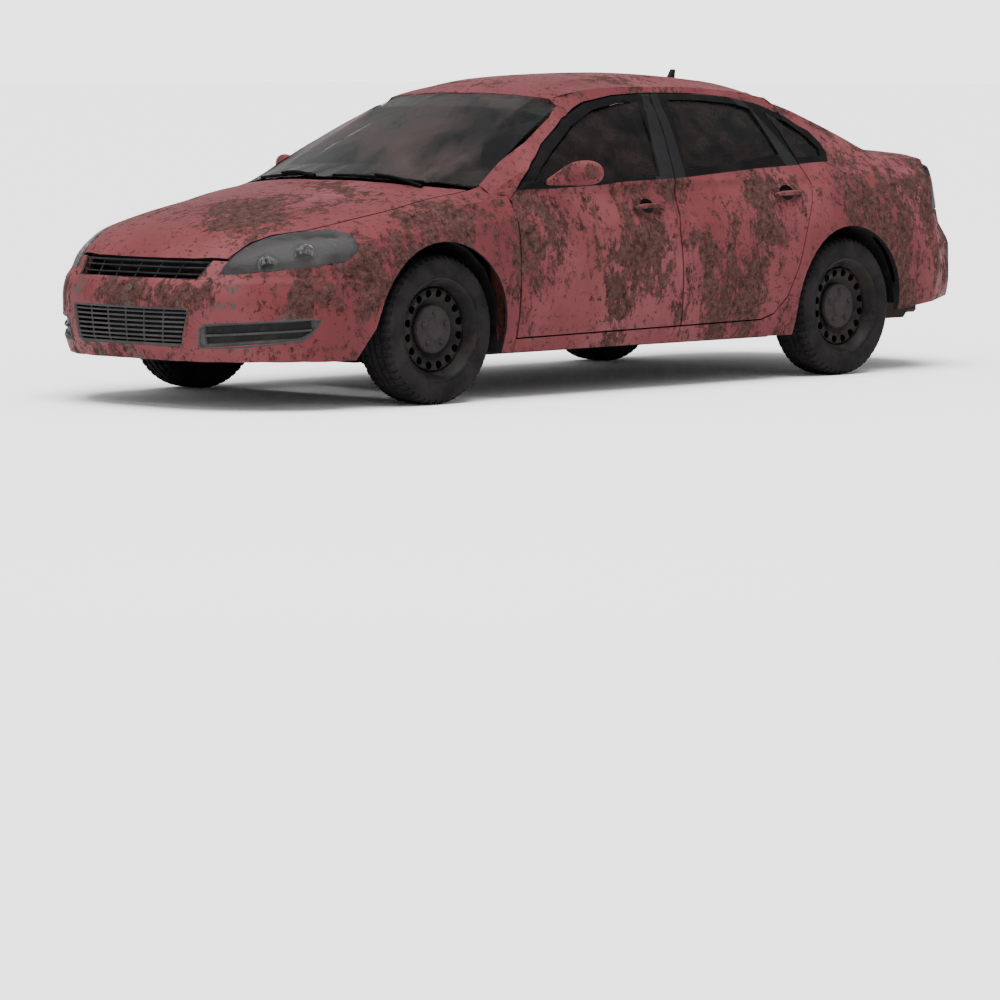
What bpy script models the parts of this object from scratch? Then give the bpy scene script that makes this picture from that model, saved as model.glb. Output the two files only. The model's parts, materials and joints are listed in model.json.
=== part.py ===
"""A rusty four-door saloon car, abandoned on its wheels: an assembly of body panels, glass, lamps,
cabin, running gear and wheels, in metres. +X is forward, +Y the car's left, +Z up, and the origin is on
the ground under the middle of the car.

The outer surface is one smooth function of a few named curves. Each panel is a piece of that surface with
the wall's own thickness, cut out along its seams."""

import math

import bmesh
import bpy
import numpy as np
from mathutils import Matrix, Vector

# Driving sizes of the whole car
FRONT_AXLE_X = 1.428
WHEELBASE = 2.807
REAR_AXLE_X = FRONT_AXLE_X - WHEELBASE
NOSE_X = 2.545
TAIL_X = -2.545

# Wheels and their arches
TYRE_RADIUS = 0.338
TYRE_WIDTH = 0.220
TYRE_CENTRE_Y = 0.770
TYRE_SIDES = 24
RIM_RADIUS = 0.205
ARCH_RADIUS = 0.395
LINER_WALL = 0.010

# Walls and seams
SEAM = 0.007
TOUCH = 0.0003
FIXED_SEAM = 2 * TOUCH
FRAME_WALL = 0.055
SKIN_WALL = 0.012
ROOF_WALL = 0.016
LID_WALL = 0.020
BUMPER_WALL = 0.025
GLASS_WALL = 0.006
LAMP_WALL = 0.028
DOOR_WALL = 0.085
DOOR_FRAME_WALL = 0.026
SILL_LOW_Z = 0.215
SILL_INNER_Y = 0.735
FLOOR_HALF = SILL_INNER_Y - TOUCH
FLOOR_TOP_Z = 0.225
RAIL_LOW_Z = 0.360
REAR_RAIL_LOW_Z = 0.330
HEEL_X = -1.095
TOE_X = 1.000
BULKHEAD_X = 1.100
LINER_RADIUS = TYRE_RADIUS + 0.064
PILLAR_GAP = 0.014
DOOR_ROWS = (0.26, 0.42, 0.60, 0.78, 0.93)
BELT_Z = 0.97
MIRROR_FOOT_Z = 0.986

# Half width of the body at its waist, against x
PLAN = ((-2.60, 0.80), (-2.20, 0.865), (-1.75, 0.905), (-1.00, 0.924), (0.0, 0.926),
        (1.00, 0.924), (1.45, 0.915), (1.90, 0.890), (2.30, 0.82), (2.60, 0.72))
# How far the side is tucked in from the waist, against z
TUCK = ((0.15, 0.085), (0.22, 0.055), (0.30, 0.030), (0.40, 0.012), (0.58, 0.0),
        (0.72, 0.008), (0.82, 0.024), (0.90, 0.045), (0.98, 0.075), (1.08, 0.12), (1.20, 0.18))
# Height of the bonnet, waist and boot deck on the centre line, against x
DECK = ((-2.60, 1.02), (-2.40, 1.065), (-2.20, 1.09), (-1.85, 1.105), (-1.20, 1.06), (-0.50, 1.01),
        (0.50, 0.98), (1.10, 1.00), (1.30, 0.99), (1.60, 0.945), (1.90, 0.893), (2.15, 0.828),
        (2.35, 0.742), (2.45, 0.668), (2.55, 0.57))
# Drop of the deck at 0.75 m from the centre line, against x
DECK_CROWN = ((-2.50, 0.05), (-1.80, 0.06), (-1.00, 0.05), (0.0, 0.04), (1.00, 0.05),
              (1.60, 0.085), (2.20, 0.11), (2.50, 0.12))
# Height of the windscreen, roof and rear window on the centre line, against x
ROOF = ((-2.10, 0.985), (-1.85, 1.105), (-1.60, 1.225), (-1.35, 1.335), (-1.15, 1.405), (-0.85, 1.455),
        (-0.45, 1.480), (-0.05, 1.470), (0.20, 1.442), (0.42, 1.388), (0.70, 1.265), (1.00, 1.125),
        (1.30, 0.985), (1.50, 0.89))
# Drop of the roof at 0.6 m from the centre line, against x
ROOF_CROWN = ((-2.00, 0.02), (-1.20, 0.036), (-0.50, 0.045), (0.30, 0.050), (1.30, 0.088))
# Half width of the cabin at the belt, against x
CABIN = ((-2.10, 0.72), (-1.60, 0.775), (-1.20, 0.815), (-0.60, 0.845), (0.0, 0.855),
         (0.60, 0.85), (1.00, 0.835), (1.40, 0.80))
CABIN_LEAN = 0.56
CABIN_CURVE = 0.25
CABIN_LOW_Z = 0.86
# Foremost x of the nose and rearmost x of the tail on the centre line, against z
NOSE = ((0.15, NOSE_X - 0.085), (0.25, NOSE_X - 0.030), (0.33, NOSE_X - 0.005), (0.48, NOSE_X),
        (0.56, NOSE_X - 0.020), (0.60, NOSE_X - 0.055), (0.66, NOSE_X - 0.085), (0.75, NOSE_X - 0.165))
TAIL = ((0.20, TAIL_X + 0.105), (0.28, TAIL_X + 0.055), (0.45, TAIL_X), (0.62, TAIL_X + 0.005),
        (0.68, TAIL_X + 0.045), (0.74, TAIL_X + 0.090), (0.85, TAIL_X + 0.115), (1.00, TAIL_X + 0.150),
        (1.10, TAIL_X + 0.205))
NOSE_SWEEP, NOSE_POWER = 0.77, 3.1
TAIL_SWEEP, TAIL_POWER = 0.62, 3.6

# Outlines of the side, seen from the left: x, z
SPLIT_TOP_X, SPLIT_BELT_X, SPLIT_WAIST_X, SPLIT_LOW_X = -0.28, -0.16, -0.125, -0.15
SWING_GAP = 0.006
DOOR_FRONT_X = 0.955
DOOR_LOW_FRONT_Z, DOOR_LOW_REAR_Z = 0.280, 0.300
WINDOW_TOP = ((0.955, 0.905), (0.90, 0.946), (0.763, 1.051), (0.616, 1.150), (0.407, 1.265), (0.19, 1.340),
              (-0.03, 1.372), (SPLIT_TOP_X, 1.382), (-0.60, 1.378), (-0.86, 1.358), (-1.02, 1.330))
REAR_DOOR_BACK = ((-1.02, 1.330), (-1.085, 1.20), (-1.125, 1.04), (-1.135, 0.94), (-1.10, 0.85), (-1.04, 0.727),
                  (-0.97, 0.544), (-0.90, 0.407), (-0.81, 0.325), (-0.72, DOOR_LOW_REAR_Z))
FRONT_GLASS = ((0.79, 0.985), (0.70, 1.050), (0.58, 1.125), (0.39, 1.228), (0.19, 1.302), (-0.03, 1.335),
               (-0.165, 1.342), (-0.065, 0.995), (0.30, 0.990))
REAR_GLASS = ((-0.375, 1.345), (-0.60, 1.342), (-0.86, 1.322), (-0.95, 1.300), (-1.005, 1.085),
              (-0.60, 1.045), (-0.265, 1.025))
QUARTER_GLASS = ((-1.065, 1.285), (-1.18, 1.235), (-1.285, 1.165), (-1.345, 1.105), (-1.335, 1.072),
                 (-1.13, 1.066))

FENDER_HEAD_Z = 0.930

# Plan outlines, left half: the edge's y, against x
ROOF_SEAM_Y = 0.525
SCREEN_SIDE = ((1.13, 0.765), (1.065, 0.750), (0.365, 0.586), (0.364, ROOF_SEAM_Y))
REAR_SCREEN_SIDE = ((-1.160, ROOF_SEAM_Y), (-1.17, 0.563), (-1.78, 0.632), (-1.90, 0.621), (-2.07, 0.5935),
                    (-2.21, 0.5655), (-2.32, 0.560))
BONNET_SIDE = ((1.05, 0.760), (1.30, 0.735), (1.60, 0.712), (1.90, 0.675), (2.06, 0.632), (2.165, 0.568),
               (2.25, 0.523), (2.32, 0.497), (2.37, 0.472), (2.45, 0.450))
# x of an edge that crosses the car, against y
SCREEN_LOW = ((0.0, 1.290), (0.40, 1.235), (0.65, 1.135), (0.80, 1.050))
SCREEN_HIGH = ((0.0, 0.425), (0.40, 0.395), (0.60, 0.355))
REAR_SCREEN_HIGH = ((0.0, -1.195), (0.40, -1.180), (0.60, -1.150))
REAR_SCREEN_LOW = ((0.0, -1.875), (0.40, -1.855), (0.65, -1.790))

# Front face, seen from the front: y, z
UPPER_GRILLE = ((-0.420, 0.661), (0.420, 0.661), (0.392, 0.578), (-0.392, 0.578))
LOWER_GRILLE = ((-0.372, 0.458), (0.372, 0.458), (0.382, 0.440), (0.345, 0.300), (0.328, 0.287),
                (-0.328, 0.287), (-0.345, 0.300), (-0.382, 0.440))
BONNET_FRONT_Z = 0.668
BUMPER_LOW_Z = 0.222
# Headlamp outline, seen along LAMP_VIEW: x, y, z on the body
HEADLAMP = ((2.409, 0.482, 0.606), (2.380, 0.486, 0.645), (2.325, 0.500, 0.693), (2.253, 0.522, 0.736),
            (2.165, 0.566, 0.769), (2.059, 0.632, 0.788), (1.966, 0.690, 0.797), (1.931, 0.756, 0.785),
            (1.912, 0.814, 0.761), (1.908, 0.845, 0.728), (1.932, 0.854, 0.695), (1.989, 0.845, 0.658),
            (2.113, 0.781, 0.638), (2.263, 0.666, 0.619), (2.363, 0.556, 0.606))
LAMP_VIEW = Vector((0.62, 0.62, 0.48)).normalized()
# Tail lamp with its grey band, seen along TAIL_VIEW: x, y, z on the body
TAIL_LAMP = ((-2.290, 0.574, 1.040), (-2.187, 0.592, 1.058), (-2.187, 0.660, 1.047), (-2.165, 0.744, 0.996),
             (-2.131, 0.793, 0.931), (-2.094, 0.831, 0.846), (-2.066, 0.853, 0.791), (-2.383, 0.530, 0.791),
             (-2.372, 0.552, 0.847))
TAIL_VIEW = Vector((-0.86, 0.40, 0.30))
LID_LOW_Z = 0.720
# Half width of the boot lid against its place from the rear window, 0, to its lower edge, 1
LID_SIDE = ((0.0, 0.620), (0.25, 0.590), (0.45, 0.562), (0.60, 0.548), (0.80, 0.535), (0.92, 0.505),
            (1.0, 0.44))
# Upper edge of the rear bumper, against y
REAR_BUMPER_TOP = ((0.0, 0.7075), (0.442, 0.7075), (0.506, 0.7385), (0.530, 0.7795), (0.536, 0.7902), (0.86, 0.7902))
# Seam between quarter panel and rear bumper: x, z
QUARTER_SEAM = ((-2.075, 0.7905), (-2.036, 0.728), (-1.998, 0.684), (-1.965, 0.671), (-1.50, 0.671))
REAR_BUMPER_LOW = ((-2.55, 0.368), (-2.30, 0.360), (-1.70, 0.300))
FENDER_SEAM_Z = 0.645
# Lower corner that the front bumper lacks behind, measured from the axle: x, z
BUMPER_HEEL = ((0.27, 0.45), (0.385, 0.43), (0.405, 0.36), (0.445, 0.30), (0.50, 0.20), (0.27, 0.20))
PLATE_HALF_WIDTH, PLATE_LOW_Z, PLATE_HIGH_Z, PLATE_FLOOR_X = 0.205, 0.487, 0.645, TAIL_X + 0.026

# Door hinges
FRONT_HINGE_X, REAR_HINGE_X, DOOR_HINGE_Y = 0.930, -0.160, 0.914
HINGE_HEIGHTS, HINGE_HEIGHT, HINGE_BOSS, HINGE_SKIN = (0.46, 0.62), 0.04, 0.005, 0.016
PILLAR_REAR_X, PILLAR_FRONT_X = -0.255, -0.175

# Bonnet and boot lid
BONNET_HINGE = (1.145, 0.915)
LID_HINGE = (-1.940, 1.050)
LUG_RADIUS, LUG_WALL = 0.012, 0.010
BONNET_REAR_GAP = 0.055
LID_GAP = 0.012

# Steering
WHEEL_CENTRE = (0.545, 0.385, 0.800)
COLUMN = (0.90, 0.0, -0.42)
SHAFT_END = 0.110
KINGPIN_Y = 0.690
BENCH_BACK_X = -1.310 + TOUCH
RIM_BACK = 0.050
SUBFRAME_TOP_Z = 0.245
ARM_LOW_Z, ARM_TOP_Z = TYRE_RADIUS - 0.172, TYRE_RADIUS - 0.152
BOOT_FLOOR_Z = 0.400
HUB_FACE_Y = TYRE_CENTRE_Y - RIM_BACK - TOUCH

PAINT = ("rusty_paint", (0.42, 0.10, 0.11), 0.2, 0.6)
BLACK = ("black_plastic", (0.03, 0.03, 0.033), 0.0, 0.7)
STEEL = ("dirty_steel", (0.05, 0.05, 0.05), 0.8, 0.6)
RUBBER = ("tyre_rubber", (0.04, 0.038, 0.038), 0.0, 0.9)
GLASS = ("dirty_glass", (0.10, 0.11, 0.11), 0.0, 0.2)
LAMP_GLASS = ("lamp_lens", (0.25, 0.25, 0.26), 0.0, 0.3)
CLOTH = ("seat_cloth", (0.05, 0.05, 0.055), 0.0, 0.95)


def curve(table, at):
    """Value at a place on the smooth curve through a table's points, without overshoot."""
    points = np.array(sorted(table), float)
    xs, ys = points[:, 0], points[:, 1]
    run = np.diff(xs)
    slope = np.diff(ys) / run
    tangent = np.zeros(len(xs))
    tangent[0], tangent[-1] = slope[0], slope[-1]
    for i in range(1, len(xs) - 1):
        if slope[i - 1] * slope[i] > 0:
            before, after = 2 * run[i] + run[i - 1], run[i] + 2 * run[i - 1]
            tangent[i] = (before + after) / (before / slope[i - 1] + after / slope[i])
    at = np.asarray(at, float)
    i = np.clip(np.searchsorted(xs, at) - 1, 0, len(xs) - 2)
    s = np.clip((at - xs[i]) / run[i], 0, 1)
    inside = ((1 + 2 * s) * (1 - s) ** 2 * ys[i] + s * (1 - s) ** 2 * run[i] * tangent[i]
              + s * s * (3 - 2 * s) * ys[i + 1] + s * s * (s - 1) * run[i] * tangent[i + 1])
    past = np.where(at < xs[0], (at - xs[0]) * tangent[0], 0) + np.where(at > xs[-1], (at - xs[-1]) * tangent[-1], 0)
    return inside + past


def round_max(a, b, radius):
    """The larger of two fields, with the edge between them rounded."""
    near = np.maximum(radius - np.abs(a - b), 0) / radius
    return np.maximum(a, b) + near * near * radius / 4


def body_field(points):
    """Below zero inside the car's outer surface, above zero outside."""
    x, y, z = points[..., 0], np.abs(points[..., 1]), points[..., 2]
    side = curve(PLAN, x) - curve(TUCK, z)
    deck = curve(DECK, x) - curve(DECK_CROWN, x) * (y / 0.75) ** 2.4
    lower = round_max(y - side, z - deck, 0.10)
    lower = round_max(lower, x - curve(NOSE, z) + NOSE_SWEEP * y ** NOSE_POWER, 0.08)
    lower = round_max(lower, curve(TAIL, z) + TAIL_SWEEP * y ** TAIL_POWER - x, 0.07)
    above = z - BELT_Z
    cabin = curve(CABIN, x) - CABIN_LEAN * np.abs(above) - CABIN_CURVE * above * above
    roof = curve(ROOF, x) - curve(ROOF_CROWN, x) * (y / 0.6) ** 2
    upper = round_max(0.87 * (y - cabin), 0.9 * (z - roof), 0.10)
    upper = round_max(upper, CABIN_LOW_Z - z, 0.02)
    return -round_max(-lower, -upper, 0.05)


def surface_point(origins, directions, reach=3.0):
    """Where rays from inside the car meet its outer surface."""
    origins, directions = np.broadcast_arrays(np.asarray(origins, float), np.asarray(directions, float))
    directions = directions / np.linalg.norm(directions, axis=-1, keepdims=True)
    near, far = np.zeros(origins.shape[:-1]), np.full(origins.shape[:-1], reach)
    for _ in range(36):
        middle = (near + far) / 2
        inside = body_field(origins + directions * middle[..., None]) < 0
        near, far = np.where(inside, middle, near), np.where(inside, far, middle)
    return origins + directions * near[..., None]


def surface_normal(points):
    """Outward unit normal of the outer surface."""
    step = 0.002
    parts = [body_field(points + step * axis) - body_field(points - step * axis) for axis in np.eye(3)]
    normal = np.stack(parts, -1)
    return normal / np.linalg.norm(normal, axis=-1, keepdims=True)


def material_of(finish):
    name, colour, metallic, roughness = finish
    material = bpy.data.materials.get(name)
    if material is None:
        material = bpy.data.materials.new(name)
        material.use_nodes = True
        shader = material.node_tree.nodes["Principled BSDF"]
        shader.inputs["Base Color"].default_value = (*colour, 1.0)
        shader.inputs["Metallic"].default_value = metallic
        shader.inputs["Roughness"].default_value = roughness
    return material


def new_object(name, points, faces, finish):
    mesh = bpy.data.meshes.new(name)
    mesh.from_pydata([tuple(map(float, p)) for p in points], [], faces)
    made = bmesh.new()
    made.from_mesh(mesh)
    bmesh.ops.triangulate(made, faces=made.faces)
    bmesh.ops.recalc_face_normals(made, faces=made.faces)
    made.to_mesh(mesh)
    made.free()
    mesh.materials.append(material_of(finish))
    obj = bpy.data.objects.new(name, mesh)
    bpy.context.scene.collection.objects.link(obj)
    return obj


def shell(name, outer, inner, finish):
    """A closed wall between two grids of points that match, both rows by columns by xyz."""
    rows, columns = outer.shape[:2]
    count = rows * columns
    index = np.arange(count).reshape(rows, columns)
    faces = []
    for i in range(rows - 1):
        for j in range(columns - 1):
            quad = [index[i, j], index[i, j + 1], index[i + 1, j + 1], index[i + 1, j]]
            faces.append([int(q) for q in quad])
            faces.append([int(q) + count for q in reversed(quad)])
    rim = list(index[0, :]) + list(index[1:, -1]) + list(index[-1, -2::-1]) + list(index[-2:0:-1, 0])
    for a, b in zip(rim, rim[1:] + rim[:1]):
        faces.append([int(b), int(a), int(a) + count, int(b) + count])
    return new_object(name, list(outer.reshape(-1, 3)) + list(inner.reshape(-1, 3)), faces, finish)


def skin(name, outer, wall, finish):
    """A wall of one thickness whose outer face lies on the car's surface."""
    return shell(name, outer, outer - surface_normal(outer) * wall, finish)


def prism(outline, low, high, place):
    """A closed prism. outline is a list of flat points, and place turns (a, b, depth) into x, y, z."""
    count = len(outline)
    points = [place(a, b, low) for a, b in outline] + [place(a, b, high) for a, b in outline]
    faces = [list(range(count)), list(range(2 * count - 1, count - 1, -1))]
    faces += [[i, (i + 1) % count, (i + 1) % count + count, i + count] for i in range(count)]
    return new_object("cutter", points, faces, BLACK)


def side_place(a, b, depth):
    return (a, depth, b)


def front_place(a, b, depth):
    return (depth, a, b)


def top_place(a, b, depth):
    return (a, b, depth)


def grown(outline, by):
    """The outline moved outwards by a distance, or inwards where it is below zero."""
    points = [Vector(p) for p in outline]
    area = sum(a.x * b.y - b.x * a.y for a, b in zip(points, points[1:] + points[:1]))
    turn = 1.0 if area > 0 else -1.0
    moved = []
    for before, here, after in zip(points[-1:] + points[:-1], points, points[1:] + points[:1]):
        first, second = (here - before).normalized(), (after - here).normalized()
        out_first = Vector((first.y, -first.x)) * turn
        out_second = Vector((second.y, -second.x)) * turn
        mitre = (out_first + out_second).normalized()
        moved.append(tuple(here + mitre * by / max(mitre.dot(out_first), 0.4)))
    return moved


def apply_boolean(obj, other, operation):
    modifier = obj.modifiers.new("cut", "BOOLEAN")
    modifier.operation = operation
    modifier.solver = "EXACT"
    modifier.object = other
    evaluated = obj.evaluated_get(bpy.context.evaluated_depsgraph_get())
    mesh = bpy.data.meshes.new_from_object(evaluated)
    obj.modifiers.clear()
    obj.data = mesh
    bpy.data.objects.remove(other)
    return obj


def cut(obj, cutter):
    return apply_boolean(obj, cutter, "DIFFERENCE")


def keep(obj, region):
    return apply_boolean(obj, region, "INTERSECT")


def join(obj, other):
    return apply_boolean(obj, other, "UNION")


def mirrored(obj, name):
    """The same piece on the car's right side."""
    mesh = obj.data.copy()
    mesh.transform(Matrix.Diagonal((1, -1, 1, 1)))
    mesh.flip_normals()
    twin = bpy.data.objects.new(name, mesh)
    bpy.context.scene.collection.objects.link(twin)
    return twin


def flipped(obj):
    """The piece itself moved to the car's other side."""
    obj.data.transform(Matrix.Diagonal((1, -1, 1, 1)))
    obj.data.flip_normals()
    return obj


def box(name, low, high, finish):
    corners = [(x, y, z) for x in (low[0], high[0]) for y in (low[1], high[1]) for z in (low[2], high[2])]
    faces = [[0, 1, 3, 2], [4, 6, 7, 5], [0, 4, 5, 1], [2, 3, 7, 6], [0, 2, 6, 4], [1, 5, 7, 3]]
    return new_object(name, corners, faces, finish)


def joined_boxes(name, rows, finish):
    """Boxes that overlap, made one solid. Each row is low x, y, z, high x, y, z."""
    first, *others = [box(name if i == 0 else "piece", row[:3], row[3:], finish) for i, row in enumerate(rows)]
    for other in others:
        join(first, other)
    return first


def turned(name, profile, centre, finish, segments):
    """A closed ring or disc turned about the Y axis through centre. profile is a loop of (radius, y)."""
    points, faces = [], []
    count = len(profile)
    half = math.pi / segments
    for i in range(segments):
        angle = 2 * math.pi * i / segments + half
        for radius, y in profile:
            points.append((centre[0] + radius * math.sin(angle), centre[1] + y, centre[2] - radius * math.cos(angle)))
    for i in range(segments):
        for j in range(count):
            a, b = i * count + j, i * count + (j + 1) % count
            c, d = ((i + 1) % segments) * count + (j + 1) % count, ((i + 1) % segments) * count + j
            faces.append([a, b, c, d])
    obj = new_object(name, points, faces, finish)
    made = bmesh.new()
    made.from_mesh(obj.data)
    bmesh.ops.remove_doubles(made, verts=made.verts, dist=0.00001)
    bmesh.ops.dissolve_degenerate(made, edges=made.edges, dist=0.00001)
    bmesh.ops.delete(made, geom=[edge for edge in made.edges if edge.is_wire], context="EDGES")
    bmesh.ops.recalc_face_normals(made, faces=made.faces)
    made.to_mesh(obj.data)
    made.free()
    return obj


def drum(centre, radius, low_y, high_y, segments):
    """A cylinder along Y, as a cutter or a plain piece."""
    outline = [(centre[0] + radius * math.cos(2 * math.pi * (i + 0.5) / segments),
                centre[1] + radius * math.sin(2 * math.pi * (i + 0.5) / segments)) for i in range(segments)]
    return prism(outline, low_y, high_y, side_place)


def arch_cutter(axle_x, inner_y):
    """What the wheel arch takes out of the left side: a round head with straight sides down to the ground."""
    radius = ARCH_RADIUS
    steps = 20
    outline = [(axle_x + radius * math.cos(math.pi * i / steps), TYRE_RADIUS + radius * math.sin(math.pi * i / steps))
               for i in range(steps + 1)]
    outline += [(axle_x - radius, 0.0), (axle_x + radius, 0.0)]
    return prism(outline, inner_y, 1.2, side_place)


def clear_scene():
    for obj in list(bpy.data.objects):
        bpy.data.objects.remove(obj)


def door_walls(z):
    """Thickness of a door against height: the full door below the belt, the window frame above it."""
    return np.interp(z, (0.90, BELT_Z), (DOOR_WALL, DOOR_FRAME_WALL))


def side_y(x, z):
    """Half width of the outer surface at a place on the side."""
    return float(surface_point((x, 0.1, z), (0, 1, 0))[1])


def split_low_z():
    share = (DOOR_FRONT_X - SPLIT_LOW_X) / (DOOR_FRONT_X - REAR_DOOR_BACK[-1][0])
    return DOOR_LOW_FRONT_Z + (DOOR_LOW_REAR_Z - DOOR_LOW_FRONT_Z) * share


def front_door_outline():
    top = [p for p in WINDOW_TOP if p[0] >= SPLIT_TOP_X]
    return [(DOOR_FRONT_X, DOOR_LOW_FRONT_Z), (DOOR_FRONT_X + 0.004, 0.60), *top,
            (SPLIT_BELT_X, 0.98), (SPLIT_WAIST_X, 0.75), (SPLIT_LOW_X, split_low_z())]


def rear_door_outline():
    top = [p for p in WINDOW_TOP if p[0] < SPLIT_TOP_X]
    return [(SPLIT_LOW_X, split_low_z()), (SPLIT_WAIST_X, 0.75), (SPLIT_BELT_X, 0.98), (SPLIT_TOP_X, 1.382),
            *top, *REAR_DOOR_BACK[1:]]


def both_doors_outline():
    """The hole that the two doors fill, as one outline."""
    return [(DOOR_FRONT_X, DOOR_LOW_FRONT_Z), (DOOR_FRONT_X + 0.004, 0.60), *WINDOW_TOP, *REAR_DOOR_BACK[1:]]


def door_grid(xs):
    """Outer and inner points of the side between the sill and the top of the windows."""
    low_rows = np.array(DOOR_ROWS)
    top_points = np.array(sorted(WINDOW_TOP))
    grid_z = []
    for x in xs:
        top = max(float(np.interp(x, top_points[:, 0], top_points[:, 1])), 0.985) + 0.012
        grid_z.append(np.concatenate([low_rows, np.linspace(0.985, top, 3)]))
    grid_z = np.array(grid_z)
    grid_x = np.repeat(np.asarray(xs)[:, None], grid_z.shape[1], axis=1)
    outer = surface_point(np.stack([grid_x, np.full_like(grid_x, 0.1), grid_z], -1), (0, 1, 0))
    inner = outer.copy()
    inner[..., 1] -= door_walls(grid_z)
    return outer, inner


def split_x(z):
    """x of the split between the doors against height."""
    heights = (split_low_z(), 0.75, 0.98, 1.382)
    return float(np.interp(z, heights, (SPLIT_LOW_X, SPLIT_WAIST_X, SPLIT_BELT_X, SPLIT_TOP_X)))


def swing_place(a, b, depth):
    """Depth from the outer surface, with the edge leaning forward inside so that it clears as the door swings."""
    outer = side_y(a, b)
    lean = (DOOR_HINGE_Y - outer + float(door_walls(b)) / 2) / (FRONT_HINGE_X - a)
    return (a - lean * depth, outer + depth, b)


def make_door(name, outline, window, xs, hinge_x):
    """A door as thick as a real one, thinner in its window frame, with its window cut out."""
    outer, inner = door_grid(xs)
    door = shell(name, outer, inner, PAINT)
    keep(door, prism(grown(outline, -SEAM / 2), 0.3, 1.2, side_place))
    cut(door, prism(window, 0.3, 1.2, side_place))
    for z in HINGE_HEIGHTS:
        cut(door, hinge_pocket(hinge_x, z))
    return door


def make_side_glass(name, window, steps=4):
    """A pane in its window opening, a little inside the frame's outer face."""
    pane = grown(window, -TOUCH)
    xs = np.linspace(min(p[0] for p in pane) - 0.02, max(p[0] for p in pane) + 0.02, steps)
    zs = np.linspace(min(p[1] for p in pane) - 0.01, max(p[1] for p in pane) + 0.01, 3)
    grid_x, grid_z = np.meshgrid(xs, zs, indexing="ij")
    outer = surface_point(np.stack([grid_x, np.full_like(grid_x, 0.1), grid_z], -1), (0, 1, 0))
    outer[..., 1] -= 0.010
    inner = outer.copy()
    inner[..., 1] -= GLASS_WALL
    return keep(shell(name, outer, inner, GLASS), prism(pane, 0.3, 1.2, side_place))


def make_doors():
    front = make_door("door_front_left", front_door_outline(), FRONT_GLASS, np.linspace(-0.32, 0.99, 7), FRONT_HINGE_X)
    low = split_low_z() - 0.02
    edge = [(split_x(z) + SWING_GAP, z) for z in (low, 0.50, 0.75, 0.98, 1.10, 1.20, 1.28, 1.34, 1.37, 1.385)]
    cut(front, prism([*edge, (SPLIT_TOP_X - 0.15, 1.385), (SPLIT_LOW_X - 0.15, low)], -0.13, 0.05, swing_place))
    rear = make_door("door_rear_left", rear_door_outline(), REAR_GLASS, np.linspace(-1.17, -0.09, 6), REAR_HINGE_X)
    front_glass = make_side_glass("glass_front_left", FRONT_GLASS)
    rear_glass = make_side_glass("glass_rear_left", REAR_GLASS)
    return [front, rear, front_glass, rear_glass]


def side_skin_points(xs, rows, top_y, low_z=SILL_LOW_Z):
    """Grid on the left side from a lower edge round to an upper edge given by its y, one column for each x."""
    grid = []
    for x in xs:
        hub = np.array([x, 0.42, 0.55])
        edge = surface_point((x, float(top_y(x)), 0.5), (0, 0, 1))
        low = surface_point((x, 0.1, low_z), (0, 1, 0))
        first = math.atan2(low[2] - hub[2], low[1] - hub[1])
        last = math.atan2(edge[2] - hub[2], edge[1] - hub[1])
        angles = first + (last - first) * np.linspace(0, 1, rows)
        rays = np.stack([np.zeros(rows), np.cos(angles), np.sin(angles)], -1)
        grid.append(surface_point(hub, rays))
    return np.array(grid)


def frame_edge_y(x):
    """y where the side frame's outer face ends: at the screens, the roof and the boot lid."""
    if x > SCREEN_SIDE[-1][0]:
        edge = curve(SCREEN_SIDE, x)
    elif x > REAR_SCREEN_SIDE[0][0]:
        edge = ROOF_SEAM_Y
    else:
        edge = curve(REAR_SCREEN_SIDE, x)
    return float(edge) - 0.015


def view_frame(points, direction):
    """How to turn 3-D points into a flat outline seen along a direction, and back."""
    forward = np.array(direction, float) / np.linalg.norm(direction)
    across = np.cross((0.0, 0.0, 1.0), forward)
    across /= np.linalg.norm(across)
    upward = np.cross(forward, across)
    centre = np.mean(np.array(points), axis=0)
    flat = [(float(np.dot(np.array(p) - centre, across)), float(np.dot(np.array(p) - centre, upward))) for p in points]

    def place(a, b, depth):
        return tuple(centre + a * across + b * upward + depth * forward)

    return flat, place, forward


def lamp_cutter(points, direction, by):
    flat, place, _ = view_frame(points, direction)
    return prism(grown(flat, by), -0.16, 0.30, place)


def make_lamp(name, points, direction, across_steps, up_steps, finish):
    """A lamp whose face lies in the body's surface inside its outline."""
    flat, place, forward = view_frame(points, direction)
    a = np.linspace(min(p[0] for p in flat) - 0.01, max(p[0] for p in flat) + 0.01, across_steps)
    b = np.linspace(min(p[1] for p in flat) - 0.01, max(p[1] for p in flat) + 0.01, up_steps)
    origins = np.array([[place(i, j, -0.15) for j in b] for i in a])
    outer = surface_point(origins, forward)
    lamp = skin(name, outer, LAMP_WALL, finish)
    return keep(lamp, prism(grown(flat, -FIXED_SEAM / 2), -0.3, 0.3, place))


def rear_bumper_region():
    """Everything behind and under the seam between quarter panel and rear bumper, seen from the left."""
    return [*QUARTER_SEAM, (-1.50, 0.0), (-2.9, 0.0), (-2.9, QUARTER_SEAM[0][1])]


def pillar_outline():
    """Section across the middle pillar, inside the doors: y, z."""
    x = SPLIT_BELT_X - 0.04
    face = [(side_y(x, z) - float(door_walls(z)) - PILLAR_GAP, z) for z in (*DOOR_ROWS, 0.985, 1.12, 1.25, 1.35)]
    back = [(y - 0.05, z) for y, z in reversed(face)]
    return [*face, *back]


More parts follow.
